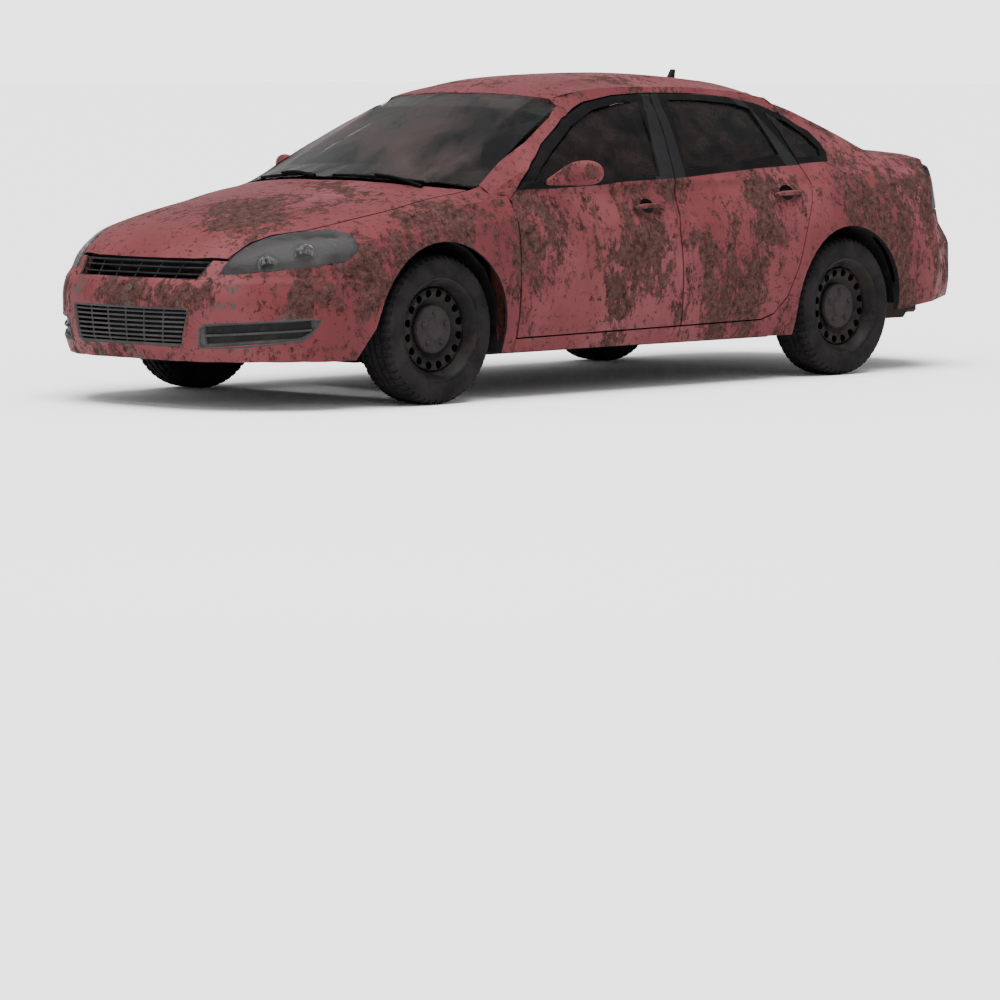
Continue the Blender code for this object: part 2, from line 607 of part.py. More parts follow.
def make_side_frame():
    """Screen pillar, roof rail, rear pillar, quarter panel and sill in one pressing, with the middle pillar."""
    xs = (1.06, 0.88, 0.70, 0.48, 0.38, 0.36, 0.18, 0.0, -0.40, -0.80, -1.02, -1.158, -1.18, -1.40, -1.60, -1.78, -1.92,
          -2.05, -2.17, -2.25)
    outer = side_skin_points(xs, 10, frame_edge_y)
    frame = skin("side_frame_left", outer, FRAME_WALL, PAINT)
    cut(frame, prism(grown(both_doors_outline(), SEAM / 2), 0.2, 1.2, side_place))
    cut(frame, arch_cutter(REAR_AXLE_X, 0.50))
    cut(frame, prism(QUARTER_GLASS, 0.3, 1.2, side_place))
    cut(frame, prism(grown(rear_bumper_region(), FIXED_SEAM / 2), 0.3, 1.2, side_place))
    cut(frame, lamp_cutter(TAIL_LAMP, TAIL_VIEW, FIXED_SEAM / 2))
    middle = [(x, y) for x, y in SCREEN_SIDE] + [(x, y) for x, y in REAR_SCREEN_SIDE]
    middle = [(middle[0][0] + 0.2, middle[0][1]), *middle]
    cut(frame, prism(grown([*middle, (-2.32, 0.0), (1.33, 0.0)], FIXED_SEAM / 2), 0.6, 1.6, top_place))
    cut(frame, prism([(-2.0745, 0.0), (-2.0745, 0.805), (-2.9, 0.805), (-2.9, 0.0)], 0.3, 1.2, side_place))
    foot = [(DOOR_FRONT_X + SEAM / 2, 0.0), (DOOR_FRONT_X + SEAM / 2, FENDER_HEAD_Z), (1.30, FENDER_HEAD_Z), (1.30, 0.0)]
    cut(frame, prism(foot, 0.3, 1.2, side_place))
    join(frame, box("piece", (-0.90, SILL_INNER_Y, 0.2165), (1.012, 0.846, 0.272), PAINT))
    join(frame, box("piece", (0.966, SILL_INNER_Y, 0.230), (1.012, 0.822, 0.860), PAINT))
    join(frame, box("piece", (0.967, 0.7035, 0.660), (1.011, 0.748, 0.955), PAINT))
    join(frame, prism(pillar_outline(), PILLAR_REAR_X, PILLAR_FRONT_X, front_place))
    for x in (FRONT_HINGE_X, REAR_HINGE_X):
        for z in HINGE_HEIGHTS:
            root_x = 0.990 if x == FRONT_HINGE_X else PILLAR_FRONT_X - 0.01
            join(frame, hinge_arm(x, z, root_x))
    return frame


def hinge_arm(x, z, root_x):
    """Arm from a pillar, inboard of the door, out to the hinge's axis."""
    half = HINGE_BOSS
    low, high = sorted((x, root_x))
    arm = box("piece", (x - half, 0.780, z), (x + half, DOOR_HINGE_Y - HINGE_SKIN, z + HINGE_HEIGHT), STEEL)
    return join(arm, box("piece", (low, 0.772, z + 0.0005), (high, 0.812, z + HINGE_HEIGHT - 0.0005), STEEL))


def hinge_pocket(x, z):
    """Room in a door for its hinge's arm, all the way of its swing."""
    half = HINGE_BOSS + 0.003
    return box("cutter", (x - half, 0.60, z - TOUCH), (x + 0.075, DOOR_HINGE_Y - 0.001, z + HINGE_HEIGHT + TOUCH), BLACK)


def make_fender():
    """Front wing from the door to the headlamp, over the wheel."""
    xs = (0.957, 1.09, 1.24, 1.40, 1.56, 1.70, 1.83, 1.95, 2.06)

    def edge(x):
        return float(curve(BONNET_SIDE, x)) + SEAM / 2

    outer = side_skin_points(xs, 9, edge)
    fender = skin("front_fender_left", outer, SKIN_WALL, PAINT)
    keep(fender, prism([(DOOR_FRONT_X + 0.0075, 0.0), (DOOR_FRONT_X + 0.0075, 1.2), (2.04, 1.2), (2.04, 0.0)],
                       0.3, 1.2, side_place))
    head_z = FENDER_HEAD_Z - FIXED_SEAM
    cut(fender, prism([(0.8, head_z), (0.8, 1.3), (1.0635, 1.3), (1.0635, head_z)], 0.3, 1.2, side_place))
    cut(fender, arch_cutter(FRONT_AXLE_X, 0.4))
    seam_z = FENDER_SEAM_Z + FIXED_SEAM / 2
    cut(fender, prism([(1.5, 0.0), (1.5, seam_z), (2.9, seam_z), (2.9, 0.0)], 0.3, 1.2, side_place))
    return cut(fender, lamp_cutter(HEADLAMP, LAMP_VIEW, FIXED_SEAM / 2))


def make_bonnet():
    """Bonnet from the foot of the windscreen over the nose to the grille."""
    rows, columns = 10, 11
    hub_x, hub_z = 2.0, 0.35
    grid = []
    for s in np.linspace(-1, 1, columns):
        y = 0.80 * s
        rear_x = float(curve(SCREEN_LOW, abs(y))) + BONNET_REAR_GAP
        rear = surface_point((rear_x, y, 0.5), (0, 0, 1))
        first = math.atan2(rear[2] - hub_z, rear[0] - hub_x)
        last = math.radians(22)
        angles = first + (last - first) * np.linspace(0, 1, rows)
        rays = np.stack([np.cos(angles), np.zeros(rows), np.sin(angles)], -1)
        grid.append(surface_point((hub_x, y, hub_z), rays))
    bonnet = skin("hood", np.array(grid), LID_WALL, PAINT)
    half = [(x, y - SEAM / 2 - 0.0025) for x, y in BONNET_SIDE]
    outline = [(0.9, half[0][1]), *half, (2.8, half[-1][1])]
    outline += [(x, -y) for x, y in reversed(outline)]
    keep(bonnet, prism(outline, 0.2, 1.4, top_place))
    cut(bonnet, box("cutter", (1.0, -1.0, 0.0), (2.9, 1.0, BONNET_FRONT_Z), BLACK))
    right_lamp = [(x, -y, z) for x, y, z in HEADLAMP]
    cut(bonnet, lamp_cutter(HEADLAMP, LAMP_VIEW, SEAM))
    cut(bonnet, lamp_cutter(right_lamp, LAMP_VIEW * Vector((1, -1, 1)), SEAM))
    for y in (0.60, -0.60 - LUG_WALL):
        join(bonnet, lug(BONNET_HINGE, (1.250, 0.943), y))
    return bonnet


def lug(axis, root, low_y):
    """Plate with a round end about a hinge's axis, and its root in what it belongs to."""
    along = Vector((root[0] - axis[0], root[1] - axis[1])).normalized()
    across = Vector((-along.y, along.x)) * LUG_RADIUS
    start = math.atan2(across.y, across.x)
    outline = [(root[0] - across.x, root[1] - across.y), (root[0] + across.x, root[1] + across.y)]
    for i in range(7):
        angle = start + math.pi * i / 6
        outline.append((axis[0] + LUG_RADIUS * math.cos(angle), axis[1] + LUG_RADIUS * math.sin(angle)))
    return prism(outline, low_y, low_y + LUG_WALL, side_place)


def bumper_grid(hub_x, zs, start, stop, columns):
    """Grid round one end of the car at heights zs, by rays from the centre line."""
    angles = np.radians(np.linspace(start, stop, columns))
    rays = np.stack([np.cos(angles), np.sin(angles), np.zeros(columns)], -1)
    return np.array([surface_point((hub_x, 0, z), rays) for z in zs])


def make_front_bumper():
    """Front bumper from wheel arch to wheel arch, with the two grille openings."""
    outer = bumper_grid(1.66, (BUMPER_LOW_Z, 0.31, 0.48, 0.555, 0.60, BONNET_FRONT_Z - SEAM), -90, 90, 17)
    bumper = skin("front_bumper", outer, BUMPER_WALL, PAINT)
    cut(bumper, box("cutter", (1.0, -1.2, FENDER_SEAM_Z - FIXED_SEAM / 2), (2.06, 1.2, 1.0), BLACK))
    heel = [(FRONT_AXLE_X + a, b) for a, b in BUMPER_HEEL]
    cut(bumper, prism(heel, -1.2, 1.2, side_place))
    for side in (1, -1):
        arch = arch_cutter(FRONT_AXLE_X, 0.4)
        cut(bumper, arch if side > 0 else flipped(arch))
        view = Vector((LAMP_VIEW.x, side * LAMP_VIEW.y, LAMP_VIEW.z))
        cut(bumper, lamp_cutter([(x, side * y, z) for x, y, z in HEADLAMP], view, FIXED_SEAM / 2))
    cut(bumper, prism(UPPER_GRILLE, 2.2, 2.8, front_place))
    return cut(bumper, prism(LOWER_GRILLE, 2.2, 2.8, front_place))


def make_grille(name, outline, columns, rows, bar):
    """Grille that lies just inside its opening, with open cells."""
    low, high = min(z for _, z in outline), max(z for _, z in outline)
    half = max(y for y, _ in outline)
    outer = bumper_grid(1.0, np.linspace(low - 0.01, high + 0.01, 2), -20, 20, 7)
    outer = outer - surface_normal(outer) * 0.010
    grille = keep(skin(name, outer, 0.014, BLACK), prism(grown(outline, -TOUCH), 2.2, 2.8, front_place))
    width, height = 2 * half / columns, (high - low) / rows
    for i in range(columns):
        for j in range(rows):
            a, b = -half + i * width, low + j * height
            cell = (max(a, -half + 0.05) + bar, min(a + width, half - 0.05) - bar)
            hole = [(cell[0], b + bar), (cell[1], b + bar), (cell[1], b + height - bar), (cell[0], b + height - bar)]
            cut(grille, prism(hole, 2.2, 2.8, front_place))
    return grille


def make_rear_bumper():
    """Rear bumper from wheel arch to wheel arch, with the recess for the number plate."""
    outer = bumper_grid(-1.50, (0.300, 0.38, 0.48, 0.62, 0.68, 0.73, 0.79), 90, 270, 17)
    bumper = skin("rear_bumper", outer, BUMPER_WALL, PAINT)
    keep(bumper, prism(grown(rear_bumper_region(), -FIXED_SEAM / 2), -1.2, 1.2, side_place))
    for side in (1, -1):
        view = Vector((TAIL_VIEW.x, side * TAIL_VIEW.y, TAIL_VIEW.z))
        cut(bumper, lamp_cutter([(x, side * y, z) for x, y, z in TAIL_LAMP], view, FIXED_SEAM / 2))
    above = list(REAR_BUMPER_TOP)
    above = [(-y, z) for y, z in reversed(above[1:])] + above + [(0.86, 1.0), (-0.86, 1.0)]
    cut(bumper, prism(above, -2.9, -1.9, front_place))
    low = [*REAR_BUMPER_LOW, (-1.0, REAR_BUMPER_LOW[-1][1]), (-1.0, 0.0), (-2.9, 0.0), (-2.9, REAR_BUMPER_LOW[0][1])]
    cut(bumper, prism(low, -1.2, 1.2, side_place))
    cut(bumper, arch_cutter(REAR_AXLE_X, 0.4))
    cut(bumper, flipped(arch_cutter(REAR_AXLE_X, 0.4)))
    wide, low_z, high_z = PLATE_HALF_WIDTH, PLATE_LOW_Z, PLATE_HIGH_Z
    join(bumper, box("piece", (-2.532, -wide - 0.02, low_z - 0.02), (-2.500, wide + 0.02, high_z + 0.01), PAINT))
    return cut(bumper, box("cutter", (-2.9, -wide, low_z), (PLATE_FLOOR_X, wide, high_z), BLACK))


def make_boot_lid():
    """Boot lid: the rear deck and the tail face between the lamps."""
    hub_x, hub_z = -2.0, 0.70
    grid = []
    for t in np.linspace(0, 1, 11):
        row = []
        for s in np.linspace(-1, 1, 9):
            y = s * (float(curve(LID_SIDE, t)) - SEAM / 2)
            front = surface_point((float(curve(REAR_SCREEN_LOW, abs(y))) - LID_GAP, y, 0.8), (0, 0, 1))
            back = surface_point((hub_x, y, LID_LOW_Z), (-1, 0, 0))
            first = math.atan2(front[2] - hub_z, front[0] - hub_x)
            last = math.atan2(back[2] - hub_z, back[0] - hub_x)
            angle = first + (last - first) * t
            row.append(surface_point((hub_x, y, hub_z), (math.cos(angle), 0, math.sin(angle))))
        grid.append(row)
    lid = skin("trunk_lid", np.array(grid), LID_WALL, PAINT)
    cut(lid, box("cutter", (-2.6, -0.8, 0.5), (-2.3, 0.8, LID_LOW_Z - 0.006), BLACK))
    for y in (0.500, -0.500 - LUG_WALL):
        join(lid, lug(LID_HINGE, (LID_HINGE[0] - 0.03, LID_HINGE[1] + 0.020), y))
    return lid


def cross_edge(table, half, order=1):
    """Points of an edge that crosses the car, from one side to the other."""
    return [(float(curve(table, abs(y))), y) for y in (-half, -0.42, -0.21, 0.0, 0.21, 0.42, half)[::order]]


def make_screen(name, low, high, side, wall, finish, rows, columns):
    """A pane or panel between two cross edges and two side edges, seen from above. side is two points."""
    (low_x, low_y), (high_x, high_y) = side
    grid = []
    for t in np.linspace(-0.04, 1.04, rows):
        half = low_y + (high_y - low_y) * t + 0.02
        row = []
        for s in np.linspace(-1, 1, columns):
            y = s * half
            row.append((float(curve(low, abs(y))) * (1 - t) + float(curve(high, abs(y))) * t, y, 0.6))
        grid.append(row)
    pane = skin(name, surface_point(np.array(grid), (0, 0, 1)), wall, finish)
    left = [(low_x, low_y), (high_x, high_y)]
    low_half, high_half = (min(y, ROOF_SEAM_Y) - 0.006 if x < 0.6 and x > -1.5 else y - 0.006 for x, y in side)
    outline = cross_edge(low, low_half) + left + cross_edge(high, high_half, -1)
    outline += [(x, -y) for x, y in reversed(left)]
    return keep(pane, prism(grown(outline, -FIXED_SEAM / 2), 0.6, 1.7, top_place))


def make_roof():
    side = (SCREEN_SIDE[-1], REAR_SCREEN_SIDE[0])
    roof = make_screen("roof_panel", SCREEN_HIGH, REAR_SCREEN_HIGH, side, ROOF_WALL, PAINT, 9, 7)
    fin = [(-1.020, 1.425), (-1.075, 1.425), (-1.082, 1.492), (-1.068, 1.494)]
    return join(roof, prism(fin, -0.011, 0.011, side_place))


def ring_sector(centre, inner, outer, low_y, high_y, steps=9):
    """Half a tube over a wheel, along Y."""
    outline = []
    for radius, order in ((outer, range(steps + 1)), (inner, range(steps, -1, -1))):
        for i in order:
            angle = math.pi * i / steps
            outline.append((centre[0] + radius * math.cos(angle), centre[1] + radius * math.sin(angle)))
    return prism(outline, low_y, high_y, side_place)


def both_sides(rows):
    """Boxes given for the left, as low x, high x, low y, high y, low z, high z, and their twins on the right."""
    made = []
    for low_x, high_x, low_y, high_y, low_z, high_z in rows:
        made.append((low_x, low_y, low_z, high_x, high_y, high_z))
        made.append((low_x, -high_y, low_z, high_x, -low_y, high_z))
    return made


def join_liners(body, axle_x, low_y, high_y):
    for side in (1, -1):
        liner = ring_sector((axle_x, TYRE_RADIUS), LINER_RADIUS, LINER_RADIUS + LINER_WALL, low_y, high_y)
        join(body, liner if side > 0 else flipped(liner))
    return body


def make_floor():
    """Floor, tunnel and bulkhead of the cabin, with the scuttle under the windscreen."""
    rows = both_sides((
        (-0.955, 0.990, 0.110, FLOOR_HALF, 0.200, FLOOR_TOP_Z),            # floor
        (HEEL_X, -0.940, 0.112, 0.596, 0.199, FLOOR_TOP_Z - 0.001),        # floor under the rear seat
        (HEEL_X, 1.095, 0.110, 0.126, 0.198, 0.368),                       # tunnel side
        (0.980, TOE_X, 0.105, 0.725, 0.203, 0.622),                        # foot of the bulkhead
        (BONNET_HINGE[0] - 0.012, BONNET_HINGE[0] + 0.012, 0.610 + TOUCH, 0.622, 0.872, 0.927),
    ))
    rows += [
        (HEEL_X, -0.120, 0.355, 1.090, 0.120, 0.372),                      # tunnel top
        (0.982, -0.722, 0.610, 1.098, 0.722, 0.630),                       # step over the wheels
        (1.080, -0.720, 0.612, BULKHEAD_X, 0.720, 0.880),                  # bulkhead
        (1.085, -0.718, 0.868, 1.210, 0.718, 0.884),                       # scuttle
    ]
    return joined_boxes("floor_pan", rows, BLACK)


def make_engine_bay():
    """Rails, inner wheel housings, strut heads and radiator panel ahead of the bulkhead."""
    rows = both_sides((
        (TOE_X + TOUCH, 2.310, 0.400, 0.470, RAIL_LOW_Z, 0.460),           # rail
        (BULKHEAD_X + TOUCH, 1.950, 0.458, 0.475, 0.440, 0.790),           # inner apron
        (1.320, 1.540, 0.468, 0.600, 0.742, 0.800),                        # head of the strut
    ))
    rows.append((2.280, -0.476, 0.250, 2.320, 0.476, 0.600))               # radiator panel
    return join_liners(joined_boxes("engine_bay", rows, BLACK), FRONT_AXLE_X, 0.465, 0.838)


def make_boot_floor():
    """Heel board, boot floor, rear wheel housings, parcel shelf and rear panel."""
    rows = both_sides((
        (-1.120, HEEL_X - TOUCH, 0.108, 0.598, 0.196, 0.428),              # heel board
        (-2.360, -1.110, 0.470, 0.540, REAR_RAIL_LOW_Z, 0.408),            # rail
        (-1.790, -0.975, 0.601, 0.616, 0.404, 0.745),                      # inner wall of the wheel housing
        (LID_HINGE[0] - 0.013, LID_HINGE[0] + 0.003, 0.5105, 0.5240, 0.8630, 1.0520),     # bracket of the lid's hinge
        (LID_HINGE[0] - 0.010, -1.736, 0.5110, 0.5235, 0.8620, 0.8780),                   # its arm
        (-1.760, -1.735, 0.5115, 0.5230, 0.8625, 0.9440),                                 # riser to the parcel shelf
    ))
    rows += [
        (-1.119, -0.115, 0.374, HEEL_X - TOUCH, 0.115, 0.427),             # heel board over the tunnel
        (-2.385, -0.610, BOOT_FLOOR_Z, -1.100, 0.610, 0.425),              # boot floor
        (-2.400, -0.450, 0.395, -2.380, 0.450, 0.690),                     # rear panel
        (-1.740, -0.560, 0.925, -1.309, 0.560, 0.945),                     # parcel shelf
        (-1.330, -0.556, 0.405, -1.310, 0.556, 0.940),                     # wall behind the rear seat
    ]
    return join_liners(joined_boxes("boot_floor", rows, BLACK), REAR_AXLE_X, 0.604, 0.840)


def make_interior():
    dash = [(1.080 - TOUCH, 0.640), (1.080 - TOUCH, 0.865), (0.960, 0.925), (0.830, 0.915), (0.740, 0.870), (0.720, 0.780),
            (0.780, 0.640)]
    piece = prism(dash, -0.70, 0.70, side_place)
    piece.name = "dashboard"
    axis = Vector(COLUMN).normalized()
    shroud = [(0, SHAFT_END + TOUCH), (0.034, SHAFT_END + TOUCH), (0.040, 0.24), (0, 0.24)]
    join(piece, turned_about("piece", shroud, Vector(WHEEL_CENTRE), axis, BLACK, 10))
    seat_side = [(0.40, 0.27), (0.44, 0.40), (0.40, 0.46), (0.06, 0.43), (-0.06, 0.62), (-0.20, 0.98), (-0.27, 0.99),
                 (-0.30, 0.93), (-0.20, 0.60), (-0.12, 0.30), (-0.08, 0.27)]
    seat = prism(seat_side, 0.15, 0.63, side_place)
    seat.name = "front_seat_left"
    join(seat, box("piece", (-0.06, 0.20, FLOOR_TOP_Z + TOUCH), (0.36, 0.58, 0.30), CLOTH))
    join(seat, prism([(-0.235, 0.95), (-0.215, 1.06), (-0.225, 1.165), (-0.29, 1.175), (-0.335, 1.06), (-0.29, 0.95)],
                     0.26, 0.52, side_place))
    mirrored(seat, "front_seat_right")
    bench_side = [(-0.46, 0.38), (-0.44, 0.43), (-0.52, 0.47), (-0.90, 0.45), (-1.14, 0.93),
                  (BENCH_BACK_X, 0.92), (BENCH_BACK_X, 0.46), (-1.05, 0.44), (-1.05, 0.38)]
    bench = prism(bench_side, -0.59, 0.59, side_place)
    bench.name = "rear_seat"
    for y in (-0.34, 0.34):
        join(bench, prism([(-1.15, 0.90), (-1.17, 1.05), (-1.24, 1.07), (-1.27, 0.90)], y - 0.12, y + 0.12, side_place))
    for piece in (seat, bench, bpy.data.objects["front_seat_right"]):
        piece.data.materials.clear()
        piece.data.materials.append(material_of(CLOTH))


def turned_about(name, profile, centre, axis, finish, segments):
    """As turned(), then tipped so that the turning axis points along axis."""
    obj = turned(name, profile, (0, 0, 0), finish, segments)
    tip = Vector((0, 1, 0)).rotation_difference(Vector(axis)).to_matrix().to_4x4()
    obj.data.transform(Matrix.Translation(Vector(centre)) @ tip)
    return obj


def ring_profile(radius, thickness, sides=6):
    return [(radius + thickness * math.cos(2 * math.pi * i / sides), thickness * math.sin(2 * math.pi * i / sides))
            for i in range(sides)]


def make_steering_wheel():
    centre, axis = Vector(WHEEL_CENTRE), Vector(COLUMN).normalized()
    ring = turned_about("steering_wheel", ring_profile(0.185, 0.014), centre, axis, BLACK, 20)
    hub = turned_about("piece", [(0, -0.025), (0.06, -0.025), (0.065, 0.02), (0.022, 0.05), (0.022, SHAFT_END), (0, SHAFT_END)],
                       centre, axis, BLACK, 12)
    join(ring, hub)
    tip = Vector((0, 1, 0)).rotation_difference(axis).to_matrix().to_4x4()
    for turn in (90, 210, 330):
        spoke = box("piece", (0.03, -0.008, -0.018), (0.186, 0.008, 0.018), BLACK)
        spoke.data.transform(Matrix.Translation(centre) @ tip @ Matrix.Rotation(math.radians(turn), 4, "Y"))
        join(ring, spoke)
    return ring


def make_engine_and_pipes():
    box("engine_block", (1.42, -0.29, SUBFRAME_TOP_Z + TOUCH), (2.06, 0.29, 0.770), STEEL)
    pipe = [(0.026 * math.cos(math.pi * (i + 0.5) / 4), 0.026 * math.sin(math.pi * (i + 0.5) / 4)) for i in range(8)]
    exhaust = prism([(a, b + 0.285) for a, b in pipe], -2.08, 1.30, front_place)
    exhaust.name = "exhaust"
    for side in (1, -1):
        can = [(-2.36, 0.26), (-2.33, 0.23), (-2.10, 0.23), (-2.07, 0.26), (-2.07, 0.33), (-2.10, 0.36), (-2.33, 0.36),
               (-2.36, 0.33)]
        ends = (0.13, 0.455) if side > 0 else (-0.455, -0.13)
        join(exhaust, prism(can, *ends, side_place))
        middle = sum(ends) / 2
        join(exhaust, box("piece", (-2.25, middle - 0.02, 0.34), (-2.23, middle + 0.02, BOOT_FLOOR_Z - TOUCH), STEEL))
    join(exhaust, prism([(a - 2.20, b + 0.285) for a, b in pipe], -0.20, 0.20, side_place))
    join(exhaust, box("piece", (-2.23, -0.03, 0.26), (-2.05, 0.03, 0.31), STEEL))
    join(exhaust, prism([(a + 0.40, b + 0.275) for a, b in pipe], -2.47, -2.30, front_place))


def axle_rows(axle_x, rows):
    """Boxes given from an axle: low x, high x, low y, high y, low z, high z, for both sides of the car."""
    return both_sides([(axle_x + a, axle_x + b, c, d, e, f) for a, b, c, d, e, f in rows])


def make_running_gear():
    """Sub-frame with its lower arms and struts, the rear axle, and the two steered knuckles."""
    hub_z = TYRE_RADIUS
    rows = axle_rows(FRONT_AXLE_X, (
        (-0.037, 0.036, 0.400, 0.694, ARM_LOW_Z, ARM_TOP_Z),               # lower arm
        (-0.025, 0.025, 0.545, 0.595, ARM_LOW_Z + 0.005, 0.7300),          # strut
        (-0.098, -0.048, 0.410, 0.435, hub_z - 0.108, RAIL_LOW_Z - TOUCH), # stay up to the rail
    ))
    rows.append((FRONT_AXLE_X - 0.118, -0.440, hub_z - 0.163, FRONT_AXLE_X + 0.122, 0.440, SUBFRAME_TOP_Z))
    joined_boxes("front_subframe", rows, STEEL)
    rows = axle_rows(REAR_AXLE_X, (
        (-0.061, 0.059, 0.150, 0.580, hub_z - 0.103, hub_z - 0.023),       # trailing end of the beam
        (-0.051, -0.021, 0.480, 0.530, hub_z - 0.038, REAR_RAIL_LOW_Z - TOUCH),
    ))
    rows.append((REAR_AXLE_X - 0.091, -0.340, hub_z - 0.148, REAR_AXLE_X + 0.089, 0.340, hub_z - 0.093))
    axle = joined_boxes("rear_axle", rows, STEEL)
    for side in (1, -1):
        hub = drum((REAR_AXLE_X, hub_z), 0.058, 0.545, HUB_FACE_Y, 10)
        join(axle, hub if side > 0 else flipped(hub))
    knuckle = drum((FRONT_AXLE_X, hub_z), 0.060, 0.630, HUB_FACE_Y, 10)
    knuckle.name = "knuckle_left"
    for low_x, low_y, low_z, high_x, high_y, high_z in (
            (-0.025, 0.612, hub_z - 0.098, 0.025, 0.650, hub_z + 0.122),
            (-0.023, 0.640, ARM_TOP_Z + TOUCH, 0.023, 0.700, hub_z - 0.076)):
        join(knuckle, box("piece", (FRONT_AXLE_X + low_x, low_y, low_z), (FRONT_AXLE_X + high_x, high_y, high_z), STEEL))
    for piece in (knuckle, axle):
        piece.data.materials.clear()
        piece.data.materials.append(material_of(STEEL))
    mirrored(knuckle, "knuckle_right")


def make_wheels():
    """Tyres, and pressed steel rims with their brake discs, each turned about its own axle."""
    half = TYRE_WIDTH / 2
    tyre_profile = [(RIM_RADIUS + TOUCH, -half + 0.022), (RIM_RADIUS + 0.012, -half + 0.004), (RIM_RADIUS + 0.065, -half),
                    (TYRE_RADIUS - 0.020, -half + 0.010), (TYRE_RADIUS, -half + 0.035), (TYRE_RADIUS, half - 0.035),
                    (TYRE_RADIUS - 0.020, half - 0.010), (RIM_RADIUS + 0.065, half), (RIM_RADIUS + 0.012, half - 0.004),
                    (RIM_RADIUS + TOUCH, half - 0.022)]
    rim_profile = [(0, -RIM_BACK), (0.072, -RIM_BACK), (0.143, -0.062), (0.143, -0.046), (0.085, -0.040), (0.085, 0.025),
                   (RIM_RADIUS - 0.027, 0.035), (RIM_RADIUS - 0.017, -half + 0.020), (RIM_RADIUS, -half + 0.020),
                   (RIM_RADIUS, half - 0.015), (RIM_RADIUS - 0.011, 0.064),
                   (0.150, 0.062), (0.100, 0.086), (0, 0.092)]
    for place, axle_x in (("front", FRONT_AXLE_X), ("rear", REAR_AXLE_X)):
        centre = (axle_x, TYRE_CENTRE_Y, TYRE_RADIUS * math.cos(math.pi / TYRE_SIDES))
        tyre = turned(f"tyre_{place}_left", tyre_profile, centre, RUBBER, TYRE_SIDES)
        rim = turned(f"rim_{place}_left", rim_profile, centre, STEEL, TYRE_SIDES)
        mirrored(tyre, f"tyre_{place}_right")
        mirrored(rim, f"rim_{place}_right")


def make_mirror():
    """Door mirror: a housing on a short foot in front of the window."""
    plan = [(0.665, 0.875), (0.645, 1.045), (0.600, 1.085), (0.560, 1.070), (0.555, 0.890)]
    mirror = prism(plan, 0.965, 1.085, top_place)
    mirror.name = "mirror_left"
    mirror.data.materials.clear()
    mirror.data.materials.append(material_of(PAINT))
    foot = [(x, side_y(x, MIRROR_FOOT_Z) + TOUCH) for x in (0.60, 0.655, 0.71)]
    join(mirror, prism([*foot, (0.65, 0.95), (0.60, 0.95)], MIRROR_FOOT_Z, MIRROR_FOOT_Z + 0.02, top_place))
    return mirror


def put_origins():
    """Give each moving piece an origin on the axis that it turns about."""
    wheel_z = TYRE_RADIUS * math.cos(math.pi / TYRE_SIDES)
    axes = {"hood": (BONNET_HINGE[0], 0, BONNET_HINGE[1]), "trunk_lid": (LID_HINGE[0], 0, LID_HINGE[1]),
            "steering_wheel": WHEEL_CENTRE}
    for word, side in (("left", 1), ("right", -1)):
        for piece, x in (("door_front", FRONT_HINGE_X), ("glass_front", FRONT_HINGE_X), ("mirror", FRONT_HINGE_X),
                         ("door_rear", REAR_HINGE_X), ("glass_rear", REAR_HINGE_X)):
            axes[f"{piece}_{word}"] = (x, side * DOOR_HINGE_Y, HINGE_HEIGHTS[0])
        axes[f"knuckle_{word}"] = (FRONT_AXLE_X, side * KINGPIN_Y, TYRE_RADIUS)
        for place, x in (("front", FRONT_AXLE_X), ("rear", REAR_AXLE_X)):
            for piece in ("tyre", "rim"):
                axes[f"{piece}_{place}_{word}"] = (x, side * TYRE_CENTRE_Y, wheel_z)
    for name, place in axes.items():
        obj = bpy.data.objects[name]
        obj.data.transform(Matrix.Translation(-Vector(place)))
        obj.location = place


def build():
    clear_scene()
    left = make_doors()
    left += [make_side_frame(), make_fender(), make_mirror()]
    left.append(make_side_glass("glass_quarter_left", QUARTER_GLASS, 3))
    left.append(make_lamp("headlamp_left", HEADLAMP, LAMP_VIEW, 6, 4, LAMP_GLASS))
    left.append(make_lamp("tail_lamp_left", TAIL_LAMP, TAIL_VIEW, 5, 5, LAMP_GLASS))
    for piece in left:
        mirrored(piece, piece.name.replace("left", "right"))
    make_bonnet()
    make_front_bumper()
    make_grille("upper_grille", UPPER_GRILLE, 6, 1, 0.008)
    make_grille("lower_grille", LOWER_GRILLE, 5, 2, 0.008)
    make_rear_bumper()
    make_boot_lid()
    make_screen("windshield", SCREEN_LOW, SCREEN_HIGH, SCREEN_SIDE[1:3], GLASS_WALL, GLASS, 6, 9)
    make_screen("rear_window", REAR_SCREEN_LOW, REAR_SCREEN_HIGH, REAR_SCREEN_SIDE[2:0:-1], GLASS_WALL, GLASS, 6, 7)
    make_roof()
    make_floor()
    make_engine_bay()
    make_boot_floor()
    make_interior()
    make_steering_wheel()
    make_engine_and_pipes()
    make_running_gear()
    make_wheels()
    put_origins()


build()
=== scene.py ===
# %% [markdown]
# # A rusty four-door saloon, left standing for years
# The car's shape is already fixed as plain solids: panels, glass, lamps, wheels and the cabin, each one
# a separate piece that turns on its real hinge or axle. This lesson gives those solids what a camera
# would see: smooth sheet metal eaten by rust, dirty glass, tyres with grooves and steel wheels.

# %% Load the solids
import json
import math

import bmesh
import bpy
import numpy as np
from mathutils import Matrix, Vector


